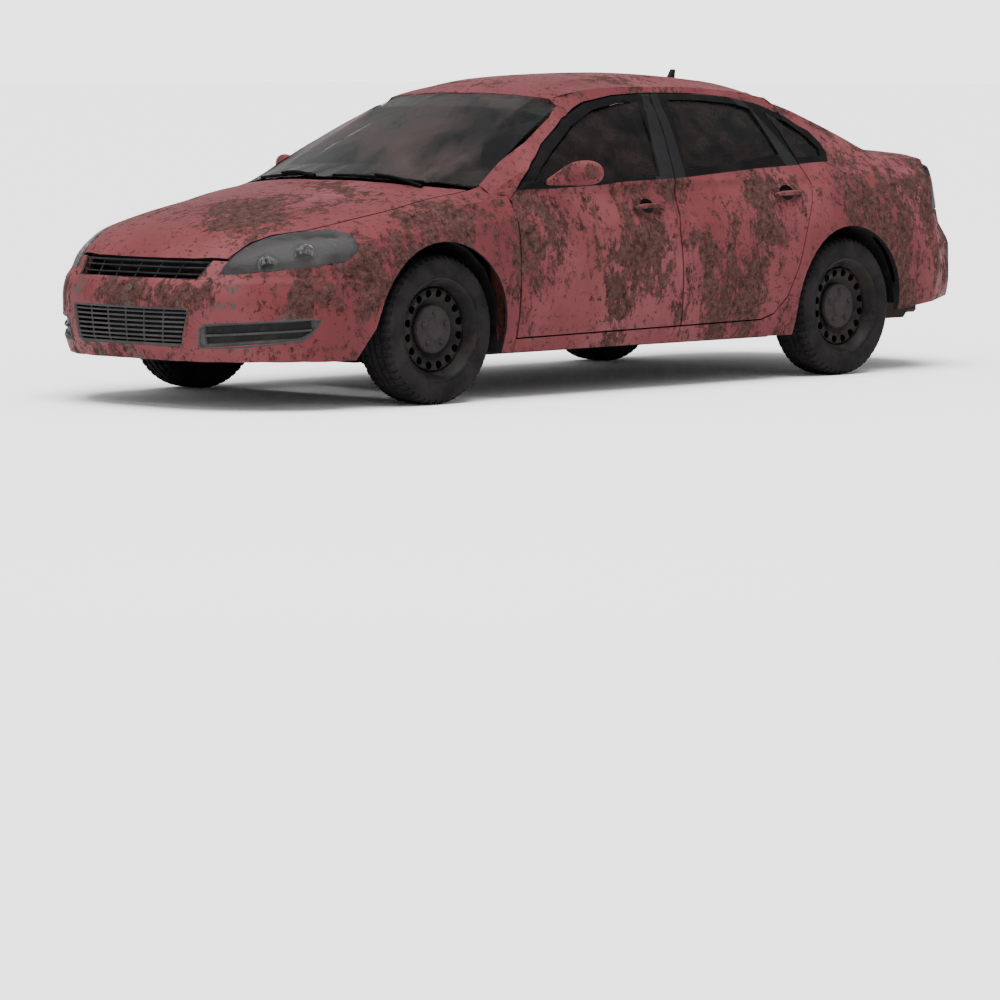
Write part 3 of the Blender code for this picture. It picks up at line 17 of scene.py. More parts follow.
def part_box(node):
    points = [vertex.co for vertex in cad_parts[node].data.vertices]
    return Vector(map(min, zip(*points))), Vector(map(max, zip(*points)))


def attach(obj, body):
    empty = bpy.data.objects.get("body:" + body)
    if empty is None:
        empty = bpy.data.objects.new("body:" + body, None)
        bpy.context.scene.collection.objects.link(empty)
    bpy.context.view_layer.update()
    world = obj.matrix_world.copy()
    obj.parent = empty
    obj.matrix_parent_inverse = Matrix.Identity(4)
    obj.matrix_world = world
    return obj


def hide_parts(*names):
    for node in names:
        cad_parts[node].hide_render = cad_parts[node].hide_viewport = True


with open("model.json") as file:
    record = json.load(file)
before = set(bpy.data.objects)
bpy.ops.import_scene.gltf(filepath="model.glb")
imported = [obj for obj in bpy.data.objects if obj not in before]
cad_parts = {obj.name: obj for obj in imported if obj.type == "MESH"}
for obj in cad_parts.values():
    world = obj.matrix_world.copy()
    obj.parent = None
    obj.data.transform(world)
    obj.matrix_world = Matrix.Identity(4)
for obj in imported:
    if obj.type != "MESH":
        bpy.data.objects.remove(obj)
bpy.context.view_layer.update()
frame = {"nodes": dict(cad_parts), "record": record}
nodes = frame["nodes"]
body_of = {name: body for body, names in frame["record"]["behaviour"]["bodies"].items() for name in names}

# %% [markdown]
# ## Camera
# The upper view of the photograph looks at the left front corner from low down and far away, with a
# long lens. The camera stands on the same spot. It is tipped down a little further than the lens that
# took the picture, so that the car comes to lie in the upper half of the frame, as it does there.

# %% Camera
CAMERA_TURN, CAMERA_RISE, CAMERA_AWAY = math.radians(44.29), math.radians(2.30), 22.64
CAMERA_AIM = Vector((0.153, 0.0, 0.647))
CAMERA_TIP = math.radians(3.07)
LENS = 169.8
LIGHT_STRENGTH, SEEN_STRENGTH = 0.95, 3.0


def towards(turn, rise):
    """Unit vector that points at a compass turn, from +X to +Y, and a rise above level."""
    return Vector((math.cos(rise) * math.cos(turn), math.cos(rise) * math.sin(turn), math.sin(rise)))


bpy.ops.object.select_all(action="DESELECT")
spot = CAMERA_AIM + CAMERA_AWAY * towards(CAMERA_TURN, CAMERA_RISE)
look = -towards(CAMERA_TURN, CAMERA_RISE + CAMERA_TIP)
bpy.ops.object.camera_add(location=spot, rotation=look.to_track_quat("-Z", "Y").to_euler())
camera = bpy.context.object
camera.name = "camera"
camera.data.lens = LENS
camera.data.clip_end = 500.0
bpy.context.scene.camera = camera
print("camera at", [round(c, 2) for c in camera.location])

# %% [markdown]
# ## Floor and light
# The car stands in a bright studio. A wide pale floor and an even white surround give the soft grey
# shadow under the car. A very wide sun from above gives the gentle fall from the light roof to the
# darker sills, and a large soft lamp on the camera's side lifts the nose. The surround is seen brighter
# than it lights, so that the backdrop stays pale while the shadow keeps its depth.

# %% Floor and surround
def node(tree, kind, inputs=(), links=(), **settings):
    """Add one shader node, set its inputs and settings, and link its inputs from other nodes' sockets."""
    made = tree.nodes.new(kind)
    for key, value in settings.items():
        setattr(made, key, value)
    for key, value in dict(inputs).items():
        made.inputs[key].default_value = value
    for key, socket in dict(links).items():
        tree.links.new(socket, made.inputs[key])
    return made


def linear(text, alpha=1.0):
    """Linear colour from an sRGB hex value such as A54B55."""
    parts = [int(text[i:i + 2], 16) / 255 for i in (0, 2, 4)]
    return (*[c / 12.92 if c <= 0.04045 else ((c + 0.055) / 1.055) ** 2.4 for c in parts], alpha)


def plain_material(name, colour, roughness, metallic=0.0):
    """A material whose Principled shader has even values, with the shader and the node tree."""
    material = bpy.data.materials.new(name)
    material.use_nodes = True
    shader = material.node_tree.nodes["Principled BSDF"]
    shader.inputs["Base Color"].default_value = linear(colour)
    shader.inputs["Roughness"].default_value = roughness
    shader.inputs["Metallic"].default_value = metallic
    return material, shader, material.node_tree


bpy.ops.mesh.primitive_plane_add(size=400.0, location=(0, 0, 0))
floor = bpy.context.object
floor.name = "studio_floor"
floor.data.materials.append(plain_material("matt white paint", "F4F4F4", 0.9)[0])

world = bpy.data.worlds.new("white surround")
bpy.context.scene.world = world
world.use_nodes = True
surround = world.node_tree.nodes["Background"]
surround.inputs["Color"].default_value = (1.0, 1.0, 1.0, 1.0)
seen = node(world.node_tree, "ShaderNodeLightPath").outputs["Is Camera Ray"]
strength = node(world.node_tree, "ShaderNodeMapRange", {"To Min": LIGHT_STRENGTH, "To Max": SEEN_STRENGTH},
                {"Value": seen})
world.node_tree.links.new(strength.outputs["Result"], surround.inputs["Strength"])

# %% Soft light from above
bpy.ops.object.light_add(type="SUN", location=(0, 0, 8), rotation=(math.radians(-9), math.radians(9), 0))
lamp = bpy.context.object
lamp.name = "lamp_above"
lamp.data.angle = math.radians(50)
lamp.data.energy = 7.2
bpy.ops.object.light_add(type="AREA", location=(7.5, 6.5, 4.0))
lamp = bpy.context.object
lamp.name = "lamp_side"
lamp.rotation_euler = (Vector((0.5, 0.5, 0.6)) - lamp.location).to_track_quat("-Z", "Y").to_euler()
lamp.data.shape = "DISK"
lamp.data.size = 4.0
lamp.data.energy = 60.0
print("surround", LIGHT_STRENGTH, "and two lamps")

# %% [markdown]
# ## Rusted paint
# The body was sprayed in a red that has faded to a dusty pink-red. Rust has eaten about half of it
# from small pits that grew together: patches up to half a metre across, whose edges break up into
# grains of one or two centimetres. One fractal noise gives both sizes at once, and a steep ramp cuts
# it into paint and rust. A second, finer one leaves single pits in the good paint. Where water stood
# there is more rust and elsewhere less, so a short list of areas shifts the limit between the two. Rust
# is rougher than paint and stands a little lower, so the same mask drives roughness and bump.

# %% Rusted paint
PATCH_SIZE = 0.42
GRAIN_SIZE = 0.022
PIT_SIZE = 0.013
RUST_FROM = 0.506
# Middle of an area in metres, how far it reaches, and how much more (or less) of it is rusted.
AREAS = (((0.53, 0.91, 0.80), 0.20, 0.09), ((0.80, 0.92, 0.72), 0.24, 0.05),
         ((0.31, 0.89, 0.86), 0.16, -0.09), ((0.50, 0.92, 0.38), 0.24, -0.09),
         ((0.17, 0.93, 0.59), 0.30, 0.07), ((-0.32, 0.89, 0.84), 0.20, -0.10),
         ((-0.71, 0.91, 0.80), 0.26, 0.09), ((-0.52, 0.91, 0.40), 0.28, 0.08),
         ((-1.54, 0.88, 0.85), 0.30, 0.06), ((2.00, 0.24, 0.86), 0.45, 0.10),
         ((1.66, 0.72, 0.86), 0.40, 0.09), ((1.92, 0.87, 0.62), 0.22, 0.08),
         ((2.19, 0.78, 0.50), 0.16, 0.10), ((2.30, 0.21, 0.75), 0.22, -0.08),
         ((2.44, 0.52, 0.33), 0.30, -0.10), ((-1.79, -0.87, 0.86), 0.34, 0.08),
         ((-0.83, -0.91, 0.75), 0.24, 0.05), ((-0.94, -0.92, 0.53), 0.20, -0.08),
         ((-0.18, -0.92, 0.62), 0.32, 0.09), ((0.66, -0.92, 0.53), 0.26, -0.08),
         ((1.21, -0.90, 0.81), 0.34, 0.07), ((-2.54, 0.25, 0.54), 0.30, -0.09),
         ((-2.41, -0.28, 0.90), 0.26, 0.06), ((2.53, 0.05, 0.50), 0.26, 0.09))


def noise_of(tree, place, size, detail, roughness, distortion=0.0):
    """Noise whose largest lumps are about size metres across."""
    return node(tree, "ShaderNodeTexNoise", {"Scale": 1.0 / size, "Detail": detail, "Roughness": roughness,
                                             "Distortion": distortion}, {"Vector": place}).outputs["Fac"]


def ramp_of(tree, value, stops, ease="LINEAR"):
    """Colour ramp with stops of place and sRGB hex colour."""
    made = node(tree, "ShaderNodeValToRGB", links={"Fac": value})
    made.color_ramp.interpolation = ease
    while len(made.color_ramp.elements) < len(stops):
        made.color_ramp.elements.new(0.5)
    for element, (place, colour) in zip(made.color_ramp.elements, stops):
        element.position = place
        element.color = linear(colour)
    return made.outputs["Color"]


def band(tree, value, low, high, out_low=0.0, out_high=1.0):
    """Straight rise from out_low to out_high while value goes from low to high."""
    return node(tree, "ShaderNodeMapRange", {"From Min": low, "From Max": high, "To Min": out_low,
                                             "To Max": out_high}, {"Value": value}).outputs["Result"]


def mixed(tree, share, first, second):
    """Colour that goes from first to second by share."""
    made = node(tree, "ShaderNodeMix", data_type="RGBA")
    for index, value in ((0, share), (6, first), (7, second)):
        if isinstance(value, bpy.types.NodeSocket):
            tree.links.new(value, made.inputs[index])
        else:
            made.inputs[index].default_value = value
    return made.outputs[2]


def maths(tree, operation, first, second=0.5, **settings):
    """One sum of two values."""
    made = node(tree, "ShaderNodeMath", operation=operation, **settings)
    for index, value in ((0, first), (1, second)):
        if isinstance(value, bpy.types.NodeSocket):
            tree.links.new(value, made.inputs[index])
        else:
            made.inputs[index].default_value = value
    return made.outputs["Value"]


def distance(tree, place, middle):
    """How far a place lies from a point, in metres."""
    return node(tree, "ShaderNodeVectorMath", {1: middle}, {0: place}, operation="DISTANCE").outputs["Value"]


def bumped(tree, shader, height, depth, strength=1.0):
    """Bump of a real depth, in metres, on a shader."""
    bump = node(tree, "ShaderNodeBump", {"Distance": depth, "Strength": strength}, {"Height": height})
    tree.links.new(bump.outputs["Normal"], shader.inputs["Normal"])


def rusty_paint():
    material, shader, tree = plain_material("faded and rusted enamel", "6C3436", 0.55)
    place = node(tree, "ShaderNodeTexCoord").outputs["Object"]
    tall = node(tree, "ShaderNodeMapping", {"Scale": (1.0, 1.0, 0.62)}, {"Vector": place}).outputs["Vector"]
    patches = noise_of(tree, tall, PATCH_SIZE, 14.0, 0.80, 0.10)
    grains = noise_of(tree, tall, GRAIN_SIZE * 2.2, 8.0, 0.80)
    grained = maths(tree, "MULTIPLY", maths(tree, "SUBTRACT", grains, 0.5), 0.42)
    ragged = maths(tree, "ADD", patches, grained)
    spot = node(tree, "ShaderNodeSeparateXYZ", links={"Vector": place}).outputs
    worn = band(tree, spot["X"], -1.8, -1.2, 0.045, 0.0)
    for middle, reach, amount in AREAS:
        away = distance(tree, place, middle)
        worn = maths(tree, "ADD", worn, band(tree, away, 0.0, reach, amount, 0.0))
    normal = node(tree, "ShaderNodeNewGeometry").outputs["Normal"]
    facing = node(tree, "ShaderNodeSeparateXYZ", links={"Vector": normal})
    worn = maths(tree, "SUBTRACT", worn, band(tree, facing.outputs["Z"], 0.45, 0.90, 0.0, 0.050))
    ragged = maths(tree, "ADD", ragged, worn)
    rust = band(tree, ragged, RUST_FROM, RUST_FROM + 0.016)
    pits = band(tree, noise_of(tree, place, PIT_SIZE * 2.5, 6.0, 0.78), 0.578, 0.598)
    thin = band(tree, patches, 0.34, 0.44)
    eaten = maths(tree, "MAXIMUM", rust, maths(tree, "MULTIPLY", pits, thin))
    fade = noise_of(tree, place, 0.75, 4.0, 0.55)
    clean = ramp_of(tree, fade, ((0.30, "50272A"), (0.52, "5A2C2F"), (0.72, "683B3E")))
    scorch = noise_of(tree, place, 0.030, 9.0, 0.80)
    brown = ramp_of(tree, scorch, ((0.36, "1B1110"), (0.46, "352220"), (0.58, "46302D"), (0.72, "5A4440")))
    colour = mixed(tree, eaten, clean, brown)
    black_pits = band(tree, noise_of(tree, place, 0.016, 7.0, 0.84), 0.575, 0.610)
    scale = maths(tree, "MULTIPLY", black_pits, band(tree, ragged, RUST_FROM - 0.05, RUST_FROM + 0.02))
    colour = mixed(tree, scale, colour, linear("171110"))
    nose = maths(tree, "MULTIPLY", band(tree, spot["X"], 2.15, 2.30), band(tree, spot["Z"], 0.66, 0.60))
    worn_off = maths(tree, "MULTIPLY", band(tree, noise_of(tree, place, 0.13, 8.0, 0.74), 0.585, 0.605), nose)
    colour = mixed(tree, worn_off, colour, linear("423B38"))
    tail = maths(tree, "MULTIPLY", band(tree, spot["X"], -2.02, -2.16), band(tree, spot["Y"], 0.20, 0.42))
    long = node(tree, "ShaderNodeMapping", {"Scale": (1.0, 0.35, 2.2)}, {"Vector": place}).outputs["Vector"]
    scratches = band(tree, noise_of(tree, long, 0.045, 9.0, 0.82, 0.6), 0.600, 0.640)
    scratched = maths(tree, "MULTIPLY", scratches, tail)
    colour = mixed(tree, scratched, colour, linear("8C8886"))
    tree.links.new(colour, shader.inputs["Base Color"])
    tree.links.new(band(tree, eaten, 0.0, 1.0, 0.50, 0.85), shader.inputs["Roughness"])
    height = maths(tree, "ADD", maths(tree, "MULTIPLY", eaten, -0.6), maths(tree, "MULTIPLY", grains, 0.8))
    bumped(tree, shader, height, 0.0012)
    shader.inputs["Specular IOR Level"].default_value = 0.04
    return material


paint = rusty_paint()
print("paint patches of", PATCH_SIZE, "m, grains of", GRAIN_SIZE, "m")

# %% [markdown]
# ## Plastic, steel, rubber, cloth and glass
# The trim is black plastic that dust has greyed. The wheels are black painted steel, the lower parts
# bare steel under road dirt. Tyres are matt rubber with grey-brown dust in their moulding. Each starts
# from the plain colour of the clean material and gets dust by noise, lighter and rougher.

# %% Dusty finishes
def dusty(name, clean, dust, size, roughness, metallic=0.0, low=0.45, high=0.75, depth=0.0006, shine=0.08):
    """A clean colour with a cloudy layer of dust, and a fine grain in its bump."""
    material, shader, tree = plain_material(name, clean, roughness, metallic)
    place = node(tree, "ShaderNodeTexCoord").outputs["Object"]
    cloud = noise_of(tree, place, size, 9.0, 0.68, 0.3)
    cover = band(tree, cloud, low, high)
    tree.links.new(mixed(tree, cover, linear(clean), linear(dust)), shader.inputs["Base Color"])
    rough = band(tree, cover, 0.0, 1.0, roughness, min(0.95, roughness + 0.35))
    tree.links.new(rough, shader.inputs["Roughness"])
    bumped(tree, shader, noise_of(tree, place, size * 0.12, 5.0, 0.7), depth)
    shader.inputs["Specular IOR Level"].default_value = shine
    return material


# Also the finish of the door handle hollows, where its near black is painted shade.
black_trim_and_painted_shade = dusty("dusty black ABS plastic, also painted shade", "0C0C0D", "1A1817", 0.30, 0.55, shine=0.02)
grille_plastic = dusty("weathered black ABS plastic", "161616", "2C2A29", 0.08, 0.50)
grey_trim = dusty("weathered grey polypropylene", "302F30", "454140", 0.10, 0.60)
wheel_steel = dusty("black stoved steel", "111010", "272321", 0.11, 0.42)
cap_steel = dusty("dusty pressed steel", "242021", "332E2E", 0.05, 0.62)
under_steel = dusty("undersealed steel", "121213", "231F1D", 0.22, 0.75, depth=0.0012)
pipe_steel = dusty("rusted aluminised steel", "241F1E", "402E28", 0.12, 0.70, 0.35, depth=0.0010)
rubber = dusty("vulcanised tyre rubber", "131213", "242121", 0.13, 0.90, low=0.40, high=0.72, depth=0.0008)
cloth = dusty("woven seat cloth", "19191B", "2D2D30", 0.16, 0.92, depth=0.0012)
pillar_plastic = dusty("satin black pillar film", "19191A", "212122", 0.20, 0.50, shine=0.02)
cabin_plastic = dusty("grained cabin vinyl", "151517", "29292B", 0.25, 0.70)
# Also the finish of the sheets behind the grilles, where its near black is painted shade.
lamp_black_and_painted_shade = dusty("smoked acrylic, also painted shade", "050506", "18181A", 0.20, 0.22, low=0.62, high=0.85, depth=0.0001,
                   shine=0.03)
# The chrome is mostly matt. The bright streaks in its base colour are painted highlights, standing for the streaky
# highlights of a fluted reflector. The flutes also drive its bump.
chrome, chrome_shader, chrome_tree = plain_material("vacuum chromed plastic with painted highlights", "E6E6E6", 0.35, 0.12)
chrome_place = node(chrome_tree, "ShaderNodeTexCoord").outputs["Object"]
upright = node(chrome_tree, "ShaderNodeMapping", {"Scale": (1.0, 1.0, 0.22)}, {"Vector": chrome_place})
flutes_and_painted_highlights = noise_of(chrome_tree, upright.outputs["Vector"], 0.016, 5.0, 0.70)
painted_highlight_streaks = ramp_of(chrome_tree, flutes_and_painted_highlights, ((0.42, "3A3A3B"), (0.52, "B8B8B8"), (0.62, "F2F2F2")))
chrome_tree.links.new(painted_highlight_streaks, chrome_shader.inputs["Base Color"])
bumped(chrome_tree, chrome_shader, flutes_and_painted_highlights, 0.001)
mirror_glass = plain_material("silvered mirror glass", "D4D8DA", 0.45, 0.85)[0]
print("dusty finishes made")

# %% [markdown]
# Dirty glass is hard to model as a clear block: the light that reaches the cabin through it would be
# lost. A dusty sheet is better shown as what it is to the eye, a thin veil: the dust is a matt colour,
# and how much of it covers the view is the shader's alpha. The front screens carry red-brown rust dust
# in streaks, and the rear one a pale grey haze. The side panes are near black and nearly opaque even
# where clean: that is painted shade for the dark cabin behind them, with the dust on top.

# %% Glass
def veiled_glass(name, tint, dust, clear, veil, size, stretch=(1.0, 1.0, 1.0), windows=()):
    """Glass whose opacity goes from clear to veil where dust lies on it, and is less in some round windows."""
    material, shader, tree = plain_material(name, tint, 0.10)
    whole = node(tree, "ShaderNodeTexCoord").outputs["Object"]
    place = node(tree, "ShaderNodeMapping", {"Scale": stretch}, {"Vector": whole}).outputs["Vector"]
    cover = band(tree, noise_of(tree, place, size, 10.0, 0.66, 0.4), 0.40, 0.66)
    specks = band(tree, noise_of(tree, place, size * 0.10, 6.0, 0.75), 0.56, 0.80)
    cover = maths(tree, "MAXIMUM", cover, maths(tree, "MULTIPLY", specks, 0.5))
    veil_here = band(tree, cover, 0.0, 1.0, clear, veil)
    for middle, reach, amount in windows:
        thinner = band(tree, distance(tree, whole, middle), reach * 0.6, reach, amount, 0.0)
        thinner = maths(tree, "MULTIPLY", thinner, band(tree, specks, 0.0, 1.0, 1.0, 0.4))
        veil_here = maths(tree, "SUBTRACT", veil_here, thinner)
    tree.links.new(mixed(tree, cover, linear(tint), linear(dust)), shader.inputs["Base Color"])
    tree.links.new(veil_here, shader.inputs["Alpha"])
    tree.links.new(band(tree, cover, 0.0, 1.0, 0.08, 0.55), shader.inputs["Roughness"])
    shader.inputs["Specular IOR Level"].default_value = 0.06
    return material


screen_glass = veiled_glass("dusty laminated glass", "161718", "3A302E", 0.44, 0.80, 0.45)
# The side panes are near black and at least 88 % opaque even where clean: painted shade for the dark cabin behind them,
# with the dust on top.
side_glass_over_painted_shade = veiled_glass("dusty tempered glass over painted shade", "060607", "1C1514", 0.88, 0.97, 0.16)
rear_glass = veiled_glass("hazed tempered glass", "2E3133", "45484A", 0.70, 0.88, 0.30, (1.0, 1.6, 1.0))
BOWL_WINDOWS = (((2.265, 0.632, 0.660), 0.050), ((2.130, 0.730, 0.697), 0.062))
LENS_WINDOWS = [((x, side * y, z), reach, 0.55) for (x, y, z), reach in BOWL_WINDOWS for side in (1, -1)]
lens_glass = veiled_glass("hazed polycarbonate", "2E2D2E", "383636", 0.72, 0.88, 0.12, windows=LENS_WINDOWS)
print("glass made")

# %% [markdown]
# ## The body's outer surface
# The solids were cut from one smooth surface: a lower body with nose and tail, and a cabin on it. The
# same curves are written here once more, because a scene can only show smooth metal if it knows where
# the metal really lies between the corners of the plain solids.

# %% Tables of the body
PLAN = ((-2.60, 0.80), (-2.20, 0.865), (-1.75, 0.905), (-1.00, 0.924), (0.0, 0.926),
        (1.00, 0.924), (1.45, 0.915), (1.90, 0.890), (2.30, 0.82), (2.60, 0.72))
TUCK = ((0.15, 0.085), (0.22, 0.055), (0.30, 0.030), (0.40, 0.012), (0.58, 0.0),
        (0.72, 0.008), (0.82, 0.024), (0.90, 0.045), (0.98, 0.075), (1.08, 0.12), (1.20, 0.18))
DECK = ((-2.60, 1.02), (-2.40, 1.065), (-2.20, 1.09), (-1.85, 1.105), (-1.20, 1.06), (-0.50, 1.01),
        (0.50, 0.98), (1.10, 1.00), (1.30, 0.99), (1.60, 0.945), (1.90, 0.893), (2.15, 0.828),
        (2.35, 0.742), (2.45, 0.668), (2.55, 0.57))
DECK_CROWN = ((-2.50, 0.05), (-1.80, 0.06), (-1.00, 0.05), (0.0, 0.04), (1.00, 0.05),
              (1.60, 0.085), (2.20, 0.11), (2.50, 0.12))
ROOF = ((-2.10, 0.985), (-1.85, 1.105), (-1.60, 1.225), (-1.35, 1.335), (-1.15, 1.405), (-0.85, 1.455),
        (-0.45, 1.480), (-0.05, 1.470), (0.20, 1.442), (0.42, 1.388), (0.70, 1.265), (1.00, 1.125),
        (1.30, 0.985), (1.50, 0.89))
ROOF_CROWN = ((-2.00, 0.02), (-1.20, 0.036), (-0.50, 0.045), (0.30, 0.050), (1.30, 0.088))
CABIN = ((-2.10, 0.72), (-1.60, 0.775), (-1.20, 0.815), (-0.60, 0.845), (0.0, 0.855),
         (0.60, 0.85), (1.00, 0.835), (1.40, 0.80))
NOSE = ((0.15, 2.460), (0.25, 2.515), (0.33, 2.540), (0.48, 2.545), (0.56, 2.525), (0.60, 2.490),
        (0.66, 2.460), (0.75, 2.380))
TAIL = ((0.20, -2.440), (0.28, -2.490), (0.45, -2.545), (0.62, -2.540), (0.68, -2.500), (0.74, -2.455),
        (0.85, -2.430), (1.00, -2.395), (1.10, -2.340))
BELT_Z, CABIN_LEAN, CABIN_CURVE, CABIN_LOW_Z = 0.97, 0.56, 0.25, 0.86
NOSE_SWEEP, NOSE_POWER, TAIL_SWEEP, TAIL_POWER = 0.77, 3.1, 0.62, 3.6


# %% Curves and the surface
def curve(table, at):
    """Value at a place on the smooth curve through a table's points, without overshoot."""
    points = np.array(sorted(table), float)
    xs, ys = points[:, 0], points[:, 1]
    run = np.diff(xs)
    slope = np.diff(ys) / run
    tangent = np.zeros(len(xs))
    tangent[0], tangent[-1] = slope[0], slope[-1]
    for i in range(1, len(xs) - 1):
        if slope[i - 1] * slope[i] > 0:
            before, after = 2 * run[i] + run[i - 1], run[i] + 2 * run[i - 1]
            tangent[i] = (before + after) / (before / slope[i - 1] + after / slope[i])
    at = np.asarray(at, float)
    i = np.clip(np.searchsorted(xs, at) - 1, 0, len(xs) - 2)
    s = np.clip((at - xs[i]) / run[i], 0, 1)
    inside = ((1 + 2 * s) * (1 - s) ** 2 * ys[i] + s * (1 - s) ** 2 * run[i] * tangent[i]
              + s * s * (3 - 2 * s) * ys[i + 1] + s * s * (s - 1) * run[i] * tangent[i + 1])
    before = np.where(at < xs[0], (at - xs[0]) * tangent[0], 0)
    return inside + before + np.where(at > xs[-1], (at - xs[-1]) * tangent[-1], 0)


def round_max(a, b, radius):
    """The larger of two fields, with the edge between them rounded."""
    near = np.maximum(radius - np.abs(a - b), 0) / radius
    return np.maximum(a, b) + near * near * radius / 4


def body_field(points):
    """Below zero inside the car's outer surface, above zero outside."""
    x, y, z = points[..., 0], np.abs(points[..., 1]), points[..., 2]
    side = curve(PLAN, x) - curve(TUCK, z)
    deck = curve(DECK, x) - curve(DECK_CROWN, x) * (y / 0.75) ** 2.4
    lower = round_max(y - side, z - deck, 0.10)
    lower = round_max(lower, x - curve(NOSE, z) + NOSE_SWEEP * y ** NOSE_POWER, 0.08)
    lower = round_max(lower, curve(TAIL, z) + TAIL_SWEEP * y ** TAIL_POWER - x, 0.07)
    above = z - BELT_Z
    cabin = curve(CABIN, x) - CABIN_LEAN * np.abs(above) - CABIN_CURVE * above * above
    roof = curve(ROOF, x) - curve(ROOF_CROWN, x) * (y / 0.6) ** 2
    upper = round_max(0.87 * (y - cabin), 0.9 * (z - roof), 0.10)
    upper = round_max(upper, CABIN_LOW_Z - z, 0.02)
    return -round_max(-lower, -upper, 0.05)


def body_slope(points, step=0.002):
    """How the field rises in x, y and z."""
    return np.stack([body_field(points + step * axis) - body_field(points - step * axis) for axis in np.eye(3)],
                    -1) / (2 * step)


def surface_point(origin, direction, reach=3.0):
    """Where rays from inside the car meet its outer surface."""
    origin, direction = np.broadcast_arrays(np.asarray(origin, float), np.asarray(direction, float))
    direction = direction / np.linalg.norm(direction, axis=-1, keepdims=True)
    near, far = np.zeros(origin.shape[:-1]), np.full(origin.shape[:-1], reach)
    for _ in range(30):
        middle = (near + far) / 2
        inside = body_field(origin + direction * middle[..., None]) < 0
        near, far = np.where(inside, middle, near), np.where(inside, far, middle)
    return origin + direction * near[..., None]


def surface_normal(points):
    """Outward unit normal of the outer surface."""
    slope = body_slope(np.asarray(points, float))
    return slope / np.linalg.norm(slope, axis=-1, keepdims=True)


def depth_of(points):
    """Distance below the outer surface, and the surface's slope there."""
    slope = body_slope(points)
    length = np.linalg.norm(slope, axis=-1)
    return -body_field(points) / length, slope, length


print("roof stands at", np.round(surface_point((-0.45, 0.0, 0.8), (0, 0, 1)), 3))

# %% [markdown]
# ## Smooth sheet metal
# A panel's solid has long flat facets, up to fifteen centimetres wide, which would show as creases. Its
# outline and seams are right, so the panel starts as a copy of the solid. Its outer faces are divided
# until no edge is longer than four centimetres, and each of their corners is moved out onto the
# body's surface. The shading then follows the surface itself, by giving those faces its normals.

# %% Copy and refine a panel
def only(obj):
    """Make one object the selected and active one."""
    bpy.ops.object.select_all(action="DESELECT")
    obj.select_set(True)
    bpy.context.view_layer.objects.active = obj


def coordinates(mesh):
    points = np.zeros(len(mesh.vertices) * 3)
    mesh.vertices.foreach_get("co", points)
    return points.reshape(-1, 3)


def refine(obj, reach, longest):
    """Divide the long edges of the outer faces, then move what lies within reach onto the surface."""
    only(obj)
    bpy.ops.object.mode_set(mode="EDIT")
    bpy.ops.mesh.select_mode(type="VERT")
    bpy.ops.mesh.select_all(action="SELECT")
    bpy.ops.mesh.remove_doubles(threshold=0.00001)
    for _ in range(4):
        made = bmesh.from_edit_mesh(obj.data)
        points = np.array([v.co[:] for v in made.verts])
        depth = np.abs(depth_of(points)[0])
        for item in (*made.verts, *made.edges, *made.faces):
            item.select = False
        long_edges = [e for e in made.edges if e.calc_length() > longest
                      and depth[e.verts[0].index] < reach and depth[e.verts[1].index] < reach]
        if not long_edges:
            break
        bpy.ops.mesh.select_mode(type="EDGE")
        for e in long_edges:
            e.select_set(True)
        bmesh.update_edit_mesh(obj.data)
        bpy.ops.mesh.subdivide(number_cuts=1)
        bpy.ops.mesh.select_all(action="SELECT")
        bpy.ops.mesh.quads_convert_to_tris()
    bpy.ops.object.mode_set(mode="OBJECT")
    points = coordinates(obj.data)
    close = np.abs(depth_of(points)[0]) < reach
    for _ in range(3):
        depth, slope, length = depth_of(points[close])
        points[close] += slope / length[:, None] * depth[:, None]
    obj.data.vertices.foreach_set("co", points.reshape(-1))
    obj.data.update()


def follow_surface(obj, tolerance=0.0006):
    """Give the faces that lie on the body's surface its own normals."""
    mesh = obj.data
    points = coordinates(mesh)
    depth = np.abs(depth_of(points)[0])
    normal = surface_normal(points)
    mesh.polygons.foreach_set("use_smooth", [True] * len(mesh.polygons))
    loops = np.zeros((len(mesh.loops), 3))
    for face in mesh.polygons:
        corners = list(face.vertices)
        flat = np.array(face.normal)
        on_it = depth[corners].max() < tolerance and (normal[corners] @ flat).min() > 0.6
        for loop, corner in zip(face.loop_indices, corners):
            loops[loop] = normal[corner] if on_it else flat
    mesh.normals_split_custom_set([tuple(n) for n in loops])
    return obj


AXLES = [(low + high) / 2 for low, high in (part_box("tyre_front_left"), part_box("tyre_rear_left"))]
ARCH_REACH, ARCH_SIDE_REACH = 0.403, 0.440


def lined(obj, reach=ARCH_REACH):
    """Give what faces the cabin or a wheel the dark lining, and what stands above the surface black plastic."""
    mesh = obj.data
    points = coordinates(mesh)
    depth = depth_of(points)[0]
    normal = surface_normal(points)
    mesh.materials.append(cabin_plastic)
    lining = len(mesh.materials) - 1
    for face in mesh.polygons:
        corners = list(face.vertices)
        inward = (normal[corners] @ np.array(face.normal)).mean() < -0.2
        middle = face.center
        in_arch = min(math.hypot(middle.x - axle.x, middle.z - axle.z) for axle in AXLES) < reach
        shade = (inward and depth[corners].mean() > 0.004) or (in_arch and depth[corners].mean() > 0.003)
        if shade or depth[corners].mean() < -0.003:
            face.material_index = lining
    return obj


def copy_of(name, new_name, *finishes):
    """A copy of a solid's mesh under a new name, with its own finishes."""
    obj = bpy.data.objects.new(new_name, nodes[name].data.copy())
    bpy.context.scene.collection.objects.link(obj)
    obj.data.materials.clear()
    for finish in finishes:
        obj.data.materials.append(finish)
    return obj


# %% [markdown]
# Panels also need cuts that the solids leave out: the hollow behind a door handle, the plastic round the
# windows, the grey band across the tail. A cutter takes them out, and its own finish goes onto the new
# faces. To split a panel in two finishes, it is cut twice: once for what lies outside, once for what lies
# inside the same outline.

